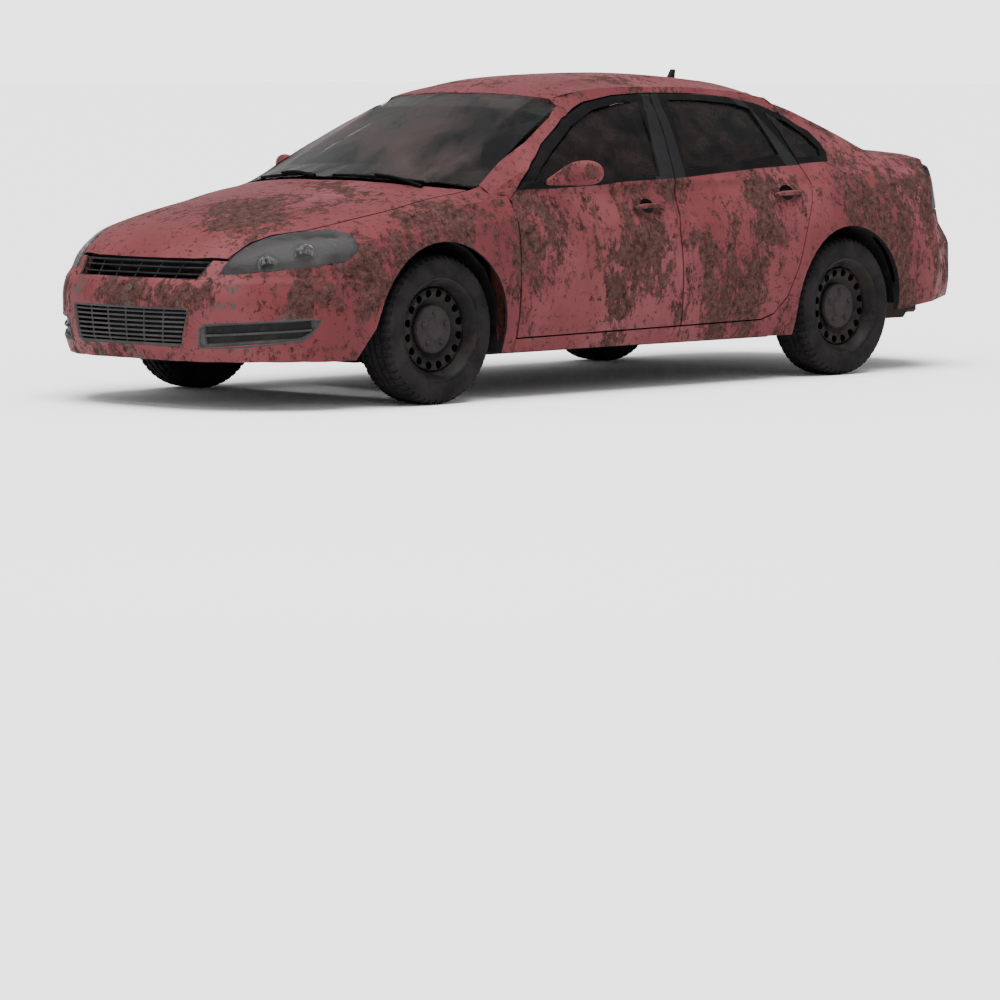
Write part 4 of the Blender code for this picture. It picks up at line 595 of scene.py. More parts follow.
# %% Cutters
def prism(name, outline, low, high, place, finish):
    """A closed prism from a flat outline. place turns its points and its depth into x, y, z."""
    made = bmesh.new()
    bottom = [made.verts.new(place(a, b, low)) for a, b in outline]
    top = [made.verts.new(place(a, b, high)) for a, b in outline]
    made.faces.new(bottom)
    made.faces.new(list(reversed(top)))
    for i in range(len(outline)):
        j = (i + 1) % len(outline)
        made.faces.new((bottom[j], bottom[i], top[i], top[j]))
    bmesh.ops.triangulate(made, faces=made.faces)
    bmesh.ops.recalc_face_normals(made, faces=made.faces)
    mesh = bpy.data.meshes.new(name)
    made.to_mesh(mesh)
    made.free()
    mesh.materials.append(finish)
    obj = bpy.data.objects.new(name, mesh)
    bpy.context.scene.collection.objects.link(obj)
    return obj


def side_place(side):
    return lambda a, b, depth: (a, side * depth, b)


def boolean(obj, cutter, operation, spare=True):
    """Apply a Boolean and, unless the cutter is needed again, throw it away."""
    only(obj)
    step = obj.modifiers.new("cut", "BOOLEAN")
    step.operation = operation
    step.object = cutter
    step.solver = "EXACT"
    step.material_mode = "TRANSFER"
    bpy.ops.object.modifier_apply(modifier=step.name)
    if spare:
        bpy.data.objects.remove(cutter)
    return obj


def split(obj, cutter, new_name, finish):
    """Take what lies inside the cutter out of a panel, as a piece of its own."""
    inside = bpy.data.objects.new(new_name, obj.data.copy())
    bpy.context.scene.collection.objects.link(inside)
    boolean(inside, cutter, "INTERSECT", spare=False)
    boolean(obj, cutter, "DIFFERENCE")
    inside.data.materials.clear()
    inside.data.materials.append(finish)
    return inside


def settle(obj, node_name, *stands_for):
    """Let a finished piece ride with a solid's body and stand for solids."""
    only(obj)
    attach(obj, body_of[node_name])
    for name in stands_for:
        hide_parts(name)
    return obj


# %% [markdown]
# ## Doors
# Each door is one pressing with a window frame. Outside, the frame and the corner ahead of the mirror are
# covered in black plastic, which runs on over the pillars as one dark band, and a satin film covers the
# pillars themselves. The handle is a bar across a round hollow, wide enough for a hand; the hollow's faces
# are near black, painted shade for the dark inside the recess.

# %% Outlines on the side
BLACK_AREA = ((0.903, 0.951), (0.763, 1.058), (0.616, 1.156), (0.407, 1.268), (0.190, 1.345), (-0.030, 1.372),
              (-0.265, 1.379), (-0.564, 1.376), (-0.864, 1.357), (-1.079, 1.322), (-1.220, 1.262), (-1.325, 1.190),
              (-1.378, 1.135), (-1.392, 1.090), (-1.371, 1.048), (-1.133, 1.037), (-0.774, 1.020), (-0.233, 0.988),
              (0.310, 0.969), (0.644, 0.955))
PILLARS = (((-0.015, 0.960), (-0.235, 0.960), (-0.335, 1.390), (-0.225, 1.390)),
           ((-1.035, 1.010), (-1.150, 1.010), (-0.905, 1.380), (-0.845, 1.380)))
HANDLES = {"front": (0.067, 0.857), "rear": (-0.939, 0.896)}
HOLLOW_RADIUS, HOLLOW_DEPTH, HOLLOW_STRETCH = 0.043, 0.028, 1.28


# %% Handles
def hollow(x, z, side):
    """A flat ball that presses a round dish into the panel, and puts a near-black finish on the dish as painted shade.
    """
    spot = surface_point((x, 0.0, z + 0.008), (0.0, side, 0.0))
    bpy.ops.object.select_all(action="DESELECT")
    radius = (HOLLOW_RADIUS ** 2 + HOLLOW_DEPTH ** 2) / (2 * HOLLOW_DEPTH)
    out = surface_normal(spot)
    bpy.ops.mesh.primitive_uv_sphere_add(segments=96, ring_count=64, radius=radius,
                                         location=spot + out * (radius - HOLLOW_DEPTH))
    ball = bpy.context.object
    ball.scale = (HOLLOW_STRETCH, 1.0, 1.0)
    bpy.ops.object.transform_apply(location=True, scale=True)
    ball.data.materials.append(black_trim_and_painted_shade)
    return ball


def tube(name, points, radius, finish, flat=1.0, cyclic=False, smooth=True, tips=None):
    """A round bar along points, made as a curve and turned into a mesh. flat is not used."""
    data = bpy.data.curves.new(name, "CURVE")
    data.dimensions = "3D"
    data.bevel_depth = radius
    data.bevel_resolution = 4
    data.use_fill_caps = True
    line = data.splines.new("BEZIER" if smooth else "POLY")
    if smooth:
        line.bezier_points.add(len(points) - 1)
        for i, (spot, place) in enumerate(zip(line.bezier_points, points)):
            spot.co = place
            spot.handle_left_type = spot.handle_right_type = "AUTO"
            spot.radius = tips[i] if tips else 1.0
    else:
        line.points.add(len(points) - 1)
        for spot, place in zip(line.points, points):
            spot.co = (*place, 1.0)
    line.use_cyclic_u = cyclic
    line.resolution_u = 8
    obj = bpy.data.objects.new(name, data)
    bpy.context.scene.collection.objects.link(obj)
    only(obj)
    bpy.ops.object.convert(target="MESH")
    obj = bpy.context.object
    obj.data.materials.clear()
    obj.data.materials.append(finish)
    bpy.ops.object.shade_smooth()
    return obj


def handle(name, x, z, side):
    """Bar across the hollow, its ends curved in to the door."""
    path = []
    for along, out in ((-0.094, -0.004), (-0.074, 0.007), (-0.035, 0.013), (0.035, 0.013), (0.074, 0.007),
                       (0.094, -0.004)):
        spot = surface_point((x + along, 0.0, z - 0.02 * along), (0.0, side, 0.0))
        path.append(spot + surface_normal(spot) * out)
    bar = tube(name, path, 0.012, paint, tips=(0.6, 0.95, 1.0, 1.0, 0.95, 0.6))
    only(bar)
    bpy.ops.object.mode_set(mode="EDIT")
    bpy.ops.mesh.select_all(action="SELECT")
    bpy.ops.mesh.normals_make_consistent(inside=False)
    bpy.ops.object.mode_set(mode="OBJECT")
    return bar


def pillar_films(trim, name, side):
    """The satin film over the pillars, taken out of a piece of the black band."""
    films = []
    for i, outline in enumerate(PILLARS):
        film = split(trim, prism("pillar", outline, 0.3, 1.2, side_place(side), pillar_plastic),
                     f"{name}_pillar_film_{i + 1}", pillar_plastic)
        if len(film.data.polygons):
            refine(film, 0.009, 0.045)
            films.append(follow_surface(film))
        else:
            bpy.data.objects.remove(film)
    return films


# %% Doors
for word, side in (("left", 1), ("right", -1)):
    for end in ("front", "rear"):
        name = f"door_{end}_{word}"
        door = copy_of(name, f"{name}_panel", paint)
        area = prism("area", BLACK_AREA, 0.3, 1.2, side_place(side), black_trim_and_painted_shade)
        trim = split(door, area, f"{name}_window_frame", black_trim_and_painted_shade)
        for film in pillar_films(trim, name, side):
            settle(film, name)
        refine(door, 0.009, 0.045)
        refine(trim, 0.009, 0.045)
        x, z = HANDLES[end]
        # The hollow's faces take the near-black finish: painted shade inside the handle recess.
        boolean(door, hollow(x, z, side), "DIFFERENCE")
        settle(lined(follow_surface(door)), name, name)
        settle(follow_surface(trim), name)
        settle(handle(f"{name}_handle", x, z, side), name)
        print(name, len(door.data.polygons), "faces,", len(trim.data.polygons), "in its window frame")

# %% [markdown]
# ## Body sides, wings, lids and roof
# The other panels need nothing but the smooth surface, except that the black band round the windows runs on
# over the door pillar and the small rear quarter, and a grey band crosses the tail below the lamps.

# %% Sides and wings
for word, side in (("left", 1), ("right", -1)):
    name = f"side_frame_{word}"
    frame_side = copy_of(name, f"body_side_{word}", paint)
    area = prism("area", BLACK_AREA, 0.3, 1.2, side_place(side), black_trim_and_painted_shade)
    trim = split(frame_side, area, f"pillar_trim_{word}", black_trim_and_painted_shade)
    for film in pillar_films(trim, name, side):
        settle(film, name)
    refine(frame_side, 0.009, 0.05)
    refine(trim, 0.009, 0.05)
    settle(lined(follow_surface(frame_side), ARCH_SIDE_REACH), name, name)
    settle(follow_surface(trim), name)
    name = f"front_fender_{word}"
    wing = copy_of(name, f"wing_{word}", paint)
    refine(wing, 0.0075, 0.04)
    settle(lined(follow_surface(wing), ARCH_SIDE_REACH), name, name)
    print(word, "side", len(frame_side.data.polygons), "wing", len(wing.data.polygons))

# %% Bonnet, roof and boot lid
BAND_LOW_Z, BAND_HIGH_Z = 0.791, 0.846
SLOT_PLACE = (-2.37, 0.0, 1.053)


def band_cutter():
    """The level slice of the tail that the grey band takes."""
    outline = [(-3.0, -1.2), (-3.0, 1.2), (-2.0, 1.2), (-2.0, -1.2)]
    return prism("slice", outline, BAND_LOW_Z, BAND_HIGH_Z, lambda a, b, depth: (a, b, depth), grey_trim)


bonnet = copy_of("hood", "bonnet_panel", paint)
refine(bonnet, 0.012, 0.045)
settle(lined(follow_surface(bonnet)), "hood", "hood")
roof = copy_of("roof_panel", "roof_skin", paint)
refine(roof, 0.009, 0.05)
settle(lined(follow_surface(roof)), "roof_panel", "roof_panel")
lid = copy_of("trunk_lid", "boot_lid_panel", paint)
refine(lid, 0.012, 0.04)
bpy.ops.object.select_all(action="DESELECT")
slot_spot = surface_point((-2.0, 0.0, 1.035), (-1.0, 0.0, 0.0))
bpy.ops.mesh.primitive_uv_sphere_add(segments=48, ring_count=24, radius=0.03, location=slot_spot)
slot = bpy.context.object
slot.scale = (0.45, 2.4, 0.62)
bpy.ops.object.transform_apply(location=True, rotation=True, scale=True)
slot.data.materials.append(lamp_black_and_painted_shade)
boolean(lid, slot, "DIFFERENCE")
lid_band = split(lid, band_cutter(), "boot_lid_band", grey_trim)
settle(follow_surface(lid), "trunk_lid", "trunk_lid")
settle(follow_surface(lid_band), "trunk_lid")
print("bonnet", len(bonnet.data.polygons), "roof", len(roof.data.polygons), "boot lid", len(lid.data.polygons))

# %% [markdown]
# ## Bumpers
# The front bumper is one moulding with the lower air intake cut through it and, at each side, an opening
# where a fog lamp could sit. It is cut along the direction in which the insert pushes in. The insert is a
# sheet that follows the bumper's own surface, sunk a little at its frame and deeper in its middle, with
# one bar across. The rear bumper has only the recess for the number plate.

# %% Front bumper
FOG_OPENING = ((2.474, 0.459, 0.388), (2.143, 0.798, 0.411), (2.118, 0.822, 0.404), (2.133, 0.812, 0.372),
               (2.150, 0.795, 0.345), (2.183, 0.770, 0.316), (2.473, 0.430, 0.284), (2.478, 0.425, 0.300),
               (2.480, 0.430, 0.370))
FOG_IN = Vector((-0.80, -0.60, 0.0))


def swept(name, points, direction, back, ahead, finish):
    """A closed block that pushes an outline of points along a direction."""
    made = bmesh.new()
    rear = [made.verts.new(Vector(p) + direction * back) for p in points]
    fore = [made.verts.new(Vector(p) - direction * ahead) for p in points]
    made.faces.new(rear)
    made.faces.new(list(reversed(fore)))
    for i in range(len(points)):
        j = (i + 1) % len(points)
        made.faces.new((rear[j], rear[i], fore[i], fore[j]))
    bmesh.ops.triangulate(made, faces=made.faces)
    bmesh.ops.recalc_face_normals(made, faces=made.faces)
    mesh = bpy.data.meshes.new(name)
    made.to_mesh(mesh)
    made.free()
    mesh.materials.append(finish)
    obj = bpy.data.objects.new(name, mesh)
    bpy.context.scene.collection.objects.link(obj)
    return obj


def on_surface(points, sink=0.0):
    """Points moved along the surface's slope onto it, then sunk below it."""
    moved = np.array(points, float)
    for _ in range(4):
        depth, slope, length = depth_of(moved)
        moved += slope / length[:, None] * depth[:, None]
    return moved - surface_normal(moved) * sink


def divided(points, pieces, closed=True):
    """The outline with each side divided into equal pieces."""
    points = [np.array(p, float) for p in points]
    ends = points[1:] + points[:1] if closed else points[1:]
    made = []
    for a, b in zip(points, ends):
        made += [a + (b - a) * i / pieces for i in range(pieces)]
    return made if closed else made + [points[-1]]


bumper = copy_of("front_bumper", "front_bumper_skin", paint)
refine(bumper, 0.012, 0.04)
for side in (1, -1):
    opening = [(x, side * y, z) for x, y, z in FOG_OPENING]
    push = Vector((FOG_IN.x, side * FOG_IN.y, 0.0)).normalized()
    boolean(bumper, swept("recess", opening, push, 0.060, 0.15, grey_trim), "DIFFERENCE")
settle(lined(follow_surface(bumper)), "front_bumper", "front_bumper")
FOG_TOP = ((0.420, 0.388), (0.459, 0.388), (0.798, 0.411), (0.830, 0.404))
FOG_LOW = ((0.420, 0.284), (0.459, 0.286), (0.770, 0.316), (0.795, 0.345), (0.812, 0.372), (0.830, 0.402))
FOG_SINK, FOG_EDGE = 0.017, 0.004


def fog_panel(name, side):
    """The insert behind the opening: a raised frame round a sunk panel, wide at its inner end."""
    ys = np.array([0.422, 0.430, 0.438, 0.446, 0.454, 0.458, *np.linspace(0.47, 0.76, 30), 0.775, 0.785,
                   0.793, 0.800, 0.806, 0.812, 0.818])
    shares = np.array([-0.04, 0.08, 0.12, 0.22, 0.36, 0.50, 0.64, 0.78, 0.88, 0.92, 1.04])
    low = np.interp(ys, *np.array(FOG_LOW).T)
    high = np.interp(ys, *np.array(FOG_TOP).T)
    z = low[:, None] + (high - low)[:, None] * shares
    y = np.broadcast_to(ys[:, None], z.shape)
    spots = surface_point(np.stack([np.full_like(z, 1.5), side * y, z], -1), (1.0, 0.0, 0.0))
    deep = (shares > 0.10)[None, :] & (shares < 0.90)[None, :] & (ys > 0.456)[:, None] & (ys < 0.803)[:, None]
    spots = spots - surface_normal(spots) * np.where(deep, FOG_SINK, FOG_EDGE)[..., None]
    made = bmesh.new()
    verts = [[made.verts.new(spot) for spot in row] for row in spots]
    for i in range(len(ys) - 1):
        for j in range(len(shares) - 1):
            corners = [verts[i][j], verts[i + 1][j], verts[i + 1][j + 1], verts[i][j + 1]]
            face = made.faces.new(corners if side > 0 else corners[::-1])
            face.material_index = int(deep[i, j] and deep[i + 1, j + 1])
    mesh = bpy.data.meshes.new(name)
    made.to_mesh(mesh)
    made.free()
    mesh.materials.append(grey_trim)
    mesh.materials.append(grille_plastic)
    obj = bpy.data.objects.new(name, mesh)
    bpy.context.scene.collection.objects.link(obj)
    only(obj)
    step = obj.modifiers.new("wall", "SOLIDIFY")
    step.thickness, step.offset = FOG_EDGE, -1.0
    bpy.ops.object.modifier_apply(modifier=step.name)
    bpy.ops.object.shade_smooth_by_angle(angle=math.radians(40))
    return obj


for word, side in (("left", 1), ("right", -1)):
    opening = [(x, side * y, z) for x, y, z in FOG_OPENING]
    rim = tube(f"fog_insert_rim_{word}", on_surface(divided(opening, 6), 0.003), 0.0052, grey_trim, cyclic=True,
               smooth=False)
    settle(rim, "front_bumper")
    settle(fog_panel(f"fog_insert_panel_{word}", side), "front_bumper")
    across = [((2.473, 0.437, 0.337)), ((2.33, 0.655, 0.350)), ((2.145, 0.793, 0.362))]
    path = on_surface(divided([(x, side * y, z) for x, y, z in across], 6, closed=False), 0.010)
    settle(tube(f"fog_insert_bar_{word}", path, 0.0055, grey_trim, smooth=False), "front_bumper")
print("front bumper", len(bumper.data.polygons), "faces with its recesses")

# %% Rear bumper
rear_skin = copy_of("rear_bumper", "rear_bumper_skin", paint)
refine(rear_skin, 0.012, 0.04)
settle(lined(follow_surface(rear_skin)), "rear_bumper", "rear_bumper")

# %% [markdown]
# ## Grilles
# The upper grille is a dark strip with two thin level bars and five uprights. The lower one has a raised
# frame with rounded corners, seven level bars and five uprights. A bar is a thin tube along the nose's
# own curve, set a little way back from the skin. Behind each grille a near-black sheet closes the view
# into the nose: it stands for the parts behind, and its near black is painted shade.

# %% Grilles
UPPER_TOP_Z, UPPER_LOW_Z, UPPER_HALF = 0.6615, 0.578, 0.410
LOWER_FRAME = ((-0.366, 0.456), (0.366, 0.456), (0.379, 0.448), (0.381, 0.436), (0.347, 0.304), (0.340, 0.292),
               (0.326, 0.288), (-0.326, 0.288), (-0.340, 0.292), (-0.347, 0.304), (-0.381, 0.436),
               (-0.379, 0.448))


def nose_line(first, last, steps, sink):
    """Points on the nose between two points of the front view, sunk below its skin."""
    made = []
    for i in range(steps + 1):
        y = first[0] + (last[0] - first[0]) * i / steps
        z = first[1] + (last[1] - first[1]) * i / steps
        spot = surface_point((2.0, y, z), (1.0, 0.0, 0.0))
        made.append(spot - surface_normal(spot) * sink)
    return made


def joined(name, pieces):
    """Several meshes as one object."""
    bpy.ops.object.select_all(action="DESELECT")
    for piece in pieces:
        piece.select_set(True)
    bpy.context.view_layer.objects.active = pieces[0]
    bpy.ops.object.join()
    pieces[0].name = name
    return pieces[0]


bars = []
for share in (0.36, 0.70):
    z = UPPER_LOW_Z + (UPPER_TOP_Z - UPPER_LOW_Z) * share
    half = 0.392 + 0.026 * share
    bars.append(tube("bar", nose_line((-half, z), (half, z), 24, 0.012), 0.0042, grille_plastic, smooth=False))
for i in range(1, 6):
    y = -0.400 + 0.800 * i / 6
    bars.append(tube("bar", nose_line((y * 0.96, UPPER_LOW_Z + 0.004), (y, UPPER_TOP_Z - 0.003), 4, 0.016), 0.0036,
                     grille_plastic, smooth=False))
upper_edge = []
for a, b in (((-0.414, 0.657), (0.414, 0.657)), ((0.414, 0.657), (0.390, 0.583)),
             ((0.390, 0.583), (-0.390, 0.583)), ((-0.390, 0.583), (-0.414, 0.657))):
    upper_edge += nose_line(a, b, 16, 0.005)[:-1]
bars.append(tube("edge", upper_edge, 0.005, grille_plastic, cyclic=True, smooth=False))
upper = joined("upper_grille_bars", bars)
settle(upper, "upper_grille", "upper_grille")
# A near-black sheet behind the bars closes the view into the nose: it stands for the parts behind, and its near black
# is painted shade.
backing = prism("upper_grille_shade_back", [(-0.42, 0.572), (0.42, 0.572), (0.42, 0.668), (-0.42, 0.668)], 2.345, 2.355,
                lambda a, b, depth: (depth, a, b), lamp_black_and_painted_shade)
settle(backing, "upper_grille")

bars = []
for i in range(1, 8):
    z = 0.288 + 0.168 * i / 8
    half = 0.330 + 0.046 * i / 8
    bars.append(tube("bar", nose_line((-half, z), (half, z), 24, 0.012), 0.0048, grey_trim, smooth=False))
for i in range(1, 6):
    y = -0.368 + 0.736 * i / 6
    bars.append(tube("bar", nose_line((y * 0.93, 0.291), (y, 0.453), 6, 0.014), 0.0042, grey_trim, smooth=False))
edge = []
for a, b in zip(LOWER_FRAME, LOWER_FRAME[1:] + LOWER_FRAME[:1]):
    edge += nose_line(a, b, 14 if abs(a[0] - b[0]) > 0.3 else 4, 0.0095)[:-1]
bars.append(tube("edge", edge, 0.0090, grey_trim, cyclic=True, smooth=False))
lower = joined("lower_grille_bars", bars)
settle(lower, "lower_grille", "lower_grille")
# The same near-black sheet behind the lower grille: painted shade for the intake behind it.
backing = prism("lower_grille_shade_back", [(-0.40, 0.27), (0.40, 0.27), (0.40, 0.47), (-0.40, 0.47)], 2.400, 2.410,
                lambda a, b, depth: (depth, a, b), lamp_black_and_painted_shade)
settle(backing, "lower_grille")
print("grilles", len(upper.data.polygons), "and", len(lower.data.polygons), "faces")

# %% [markdown]
# ## Glass
# The panes are thin solids, so their copies are smoothed like the metal.

# %% Panes
PANES = [("windshield", screen_glass), ("rear_window", rear_glass)]
for word in ("left", "right"):
    PANES += [(f"glass_front_{word}", side_glass_over_painted_shade), (f"glass_rear_{word}", side_glass_over_painted_shade),
              (f"glass_quarter_{word}", side_glass_over_painted_shade)]
for name, finish in PANES:
    pane = copy_of(name, f"{name}_pane", finish)
    refine(pane, 0.0028, 0.05)
    settle(follow_surface(pane), name, name)
    print(name, len(pane.data.polygons), "faces")

# %% [markdown]
# ## Headlamps
# Behind a hazed grey lens two bright bowls sit in a dark housing. The lens is the outer skin of the solid
# lamp, given a thin wall. The housing is the same skin pushed back, and each bowl is half a ball whose
# inside is chrome with highlights painted into its colour as bright streaks.

# %% Headlamps
BOWLS = (((2.265, 0.632, 0.660), 0.046), ((2.130, 0.730, 0.697), 0.058))


def outer_skin(name, new_name, finish, sink, wall, reach=0.020):
    """The outer faces of a solid as a sheet of their own, sunk below the surface, with a wall."""
    sheet = copy_of(name, new_name, finish)
    refine(sheet, reach, 0.03)
    points = coordinates(sheet.data)
    off = np.abs(depth_of(points)[0]) > 0.006
    only(sheet)
    bpy.ops.object.mode_set(mode="EDIT")
    bpy.ops.mesh.select_mode(type="VERT")
    made = bmesh.from_edit_mesh(sheet.data)
    for vert in made.verts:
        vert.select_set(bool(off[vert.index]))
    bmesh.update_edit_mesh(sheet.data)
    bpy.ops.mesh.delete(type="VERT")
    bpy.ops.object.mode_set(mode="OBJECT")
    points = coordinates(sheet.data)
    sheet.data.vertices.foreach_set("co", (points - surface_normal(points) * sink).reshape(-1))
    bpy.ops.object.shade_smooth()
    step = sheet.modifiers.new("wall", "SOLIDIFY")
    step.thickness = wall
    step.offset = -1.0
    bpy.ops.object.modifier_apply(modifier=step.name)
    return sheet


def bowl(name, place, radius, facing):
    """Half a ball with its hollow side towards facing."""
    bpy.ops.object.select_all(action="DESELECT")
    turn = Vector(facing).to_track_quat("Z", "Y").to_euler()
    bpy.ops.mesh.primitive_uv_sphere_add(segments=32, ring_count=16, radius=radius, location=place, rotation=turn)
    obj = bpy.context.object
    obj.name = name
    bpy.ops.object.mode_set(mode="EDIT")
    bpy.ops.mesh.bisect(plane_co=place, plane_no=facing, clear_outer=True)
    bpy.ops.object.mode_set(mode="OBJECT")
    bpy.ops.object.transform_apply(location=True, rotation=True)
    obj.data.materials.append(under_steel)
    # The inside takes the chrome, whose bright streaks are painted highlights.
    obj.data.materials.append(chrome)
    step = obj.modifiers.new("wall", "SOLIDIFY")
    step.thickness = 0.002
    step.material_offset = step.material_offset_rim = 1
    bpy.ops.object.modifier_apply(modifier=step.name)
    bpy.ops.object.shade_smooth()
    return obj


for word, side in (("left", 1), ("right", -1)):
    name = f"headlamp_{word}"
    lens = outer_skin(name, f"headlamp_lens_{word}", lens_glass, 0.0, 0.003)
    settle(lens, name, name)
    housing = outer_skin(name, f"headlamp_housing_{word}", grey_trim, 0.060, 0.003)
    settle(housing, name)
    for i, (place, radius) in enumerate(BOWLS):
        x, y, z = place
        spot = on_surface([(x, side * y, z)], 0.030)[0]
        reflector = bowl(f"headlamp_bowl_{word}_{i + 1}", spot, radius, (0.80, side * 0.45, 0.25))
        settle(reflector, name)
    print(name, len(lens.data.polygons), "faces in its lens")

# %% Tail lamps
for word in ("left", "right"):
    name = f"tail_lamp_{word}"
    lamp = copy_of(name, f"tail_lamp_cover_{word}", lamp_black_and_painted_shade)
    refine(lamp, 0.012, 0.03)
    strip = split(lamp, band_cutter(), f"tail_lamp_band_{word}", grey_trim)
    settle(follow_surface(lamp), name, name)
    settle(follow_surface(strip), name)

# %% [markdown]
# ## Wheels
# A steel wheel is two pressings welded together: a rim with a rolled edge, and a disc whose ring of round
# holes lets the brake cool. A domed cap covers its middle. All of it is turned, so its section is drawn once
# and spun round the axle, and then the sixteen holes are cut. The tyre is spun too; its four grooves are in
# the section, and notches are pressed into its shoulders, block by block.

# %% Sections, as distance out from the wheel's middle plane and radius
TYRE_RADIUS = 0.338
TYRE_SECTION = ((-0.084, 0.212), (-0.094, 0.222), (-0.104, 0.240), (-0.110, 0.268), (-0.1085, 0.295),
                (-0.101, 0.317), (-0.088, 0.331), (-0.078, 0.3345), (-0.062, 0.3358), (-0.060, 0.328),
                (-0.052, 0.328), (-0.050, 0.3368), (-0.024, 0.338), (-0.022, 0.329), (-0.014, 0.329),
                (-0.012, 0.338), (0.012, 0.338), (0.014, 0.329), (0.022, 0.329), (0.024, 0.338),
                (0.050, 0.3368), (0.052, 0.328), (0.060, 0.328), (0.062, 0.3358), (0.078, 0.3345),
                (0.088, 0.331), (0.101, 0.317), (0.1085, 0.295), (0.110, 0.268), (0.107, 0.252), (0.104, 0.240),
                (0.098, 0.231), (0.090, 0.226), (0.084, 0.212))
RIM_SECTION = ((-0.092, 0.208), (-0.084, 0.206), (-0.070, 0.192), (0.020, 0.188), (0.060, 0.195), (0.074, 0.208),
               (0.086, 0.213), (0.094, 0.222), (0.1005, 0.227), (0.1035, 0.233), (0.1010, 0.237), (0.097, 0.2335),
               (0.093, 0.2285), (0.083, 0.220), (0.070, 0.214), (0.055, 0.202), (0.016, 0.194), (-0.066, 0.198))
DISC_SECTION = ((0.030, 0.194), (0.046, 0.190), (0.056, 0.184), (0.060, 0.172), (0.057, 0.155), (0.050, 0.140),
                (0.040, 0.128), (0.034, 0.110), (0.034, 0.060))
CAP_SECTION = ((0.036, 0.112), (0.050, 0.110), (0.058, 0.106), (0.062, 0.098), (0.063, 0.070), (0.064, 0.052),
               (0.070, 0.046), (0.072, 0.040), (0.073, 0.020), (0.073, 0.0))
HOLES, HOLE_RING, HOLE_RADIUS = 16, 0.164, 0.0185
LUGS, LUG_RING = 5, 0.074


def spun(name, section, steps, finish, closed=False):
    """A section of (out, radius) spun about the Y axis."""
    mesh = bpy.data.meshes.new(name)
    count = len(section)
    edges = [(i, i + 1) for i in range(count - 1)] + ([(count - 1, 0)] if closed else [])
    mesh.from_pydata([(0.0, out, radius) for out, radius in section], edges, [])
    obj = bpy.data.objects.new(name, mesh)
    bpy.context.scene.collection.objects.link(obj)
    only(obj)
    bpy.ops.object.mode_set(mode="EDIT")
    bpy.ops.mesh.select_all(action="SELECT")
    bpy.ops.mesh.spin(steps=steps, angle=2 * math.pi, center=(0, 0, 0), axis=(0, 1, 0))
    bpy.ops.mesh.select_all(action="SELECT")
    bpy.ops.mesh.remove_doubles(threshold=0.00005)
    bpy.ops.mesh.normals_make_consistent(inside=False)
    bpy.ops.object.mode_set(mode="OBJECT")
    obj.data.materials.append(finish)
    bpy.ops.object.shade_smooth_by_angle(angle=math.radians(35))
    return obj


def walled(obj, wall):
    """Give a turned sheet a wall inwards, once its normals are right."""
    only(obj)
    step = obj.modifiers.new("wall", "SOLIDIFY")
    step.thickness = wall
    step.offset = -1.0
    bpy.ops.object.modifier_apply(modifier=step.name)
    return obj


# %% Tyre
TYRE_STEPS = 108
tyre = spun("tyre", TYRE_SECTION, TYRE_STEPS, rubber, closed=True)
only(tyre)
bpy.ops.object.mode_set(mode="EDIT")
bpy.ops.mesh.select_mode(type="FACE")
made = bmesh.from_edit_mesh(tyre.data)
for face in made.faces:
    middle = face.calc_center_median()
    radius = math.hypot(middle.x, middle.z)
    turn = int(math.floor((math.degrees(math.atan2(middle.z, middle.x)) % 360) / (360 / TYRE_STEPS)))
    shoulder = 0.0625 < abs(middle.y) < 0.100 and radius > 0.31
    rib = 0.025 < abs(middle.y) < 0.050 and radius > 0.334
    face.select_set((shoulder and turn % 2 == 0) or (rib and turn % 3 == 0))
bmesh.update_edit_mesh(tyre.data)
bpy.ops.mesh.inset(thickness=0.0012, depth=-0.0045, use_individual=False)
bpy.ops.object.mode_set(mode="OBJECT")
bpy.ops.object.shade_smooth_by_angle(angle=math.radians(30))
print("tyre", len(tyre.data.polygons), "faces")

# %% Rim with its disc and cap
rim = spun("rim", RIM_SECTION, 96, wheel_steel, closed=True)
disc = spun("disc", DISC_SECTION, 96, wheel_steel)
walled(disc, 0.004)
drills = []
for i in range(HOLES):
    turn = 2 * math.pi * (i + 0.5) / HOLES
    bpy.ops.object.select_all(action="DESELECT")
    bpy.ops.mesh.primitive_cylinder_add(vertices=20, radius=HOLE_RADIUS, depth=0.08, rotation=(math.pi / 2, 0, 0),
                                        location=(HOLE_RING * math.cos(turn), 0.05, HOLE_RING * math.sin(turn)))
    drills.append(bpy.context.object)
    bpy.ops.object.transform_apply(location=True, rotation=True)
drill = joined("drill", drills)
drill.data.materials.append(wheel_steel)
boolean(disc, drill, "DIFFERENCE")
only(disc)
bpy.ops.object.shade_smooth_by_angle(angle=math.radians(35))
cap = spun("cap", CAP_SECTION, 72, cap_steel)
walled(cap, 0.002)
lugs = []
for i in range(LUGS):
    turn = 2 * math.pi * (i + 0.25) / LUGS
    bpy.ops.object.select_all(action="DESELECT")
    bpy.ops.mesh.primitive_uv_sphere_add(segments=20, ring_count=12, radius=0.0135,
                                         location=(LUG_RING * math.cos(turn), 0.0615, LUG_RING * math.sin(turn)))
    lugs.append(bpy.context.object)
    bpy.ops.object.transform_apply(location=True)
    lugs[-1].data.materials.append(cap_steel)
    bpy.ops.object.shade_smooth()
back = spun("back", ((-0.030, 0.190), (-0.046, 0.150), (-0.046, 0.060)), 48, under_steel)
wheel = joined("wheel_rim", [rim, disc, cap, back, *lugs])
print("rim", len(wheel.data.polygons), "faces")

# %% Four wheels
WHEEL_MID_Y = 0.770


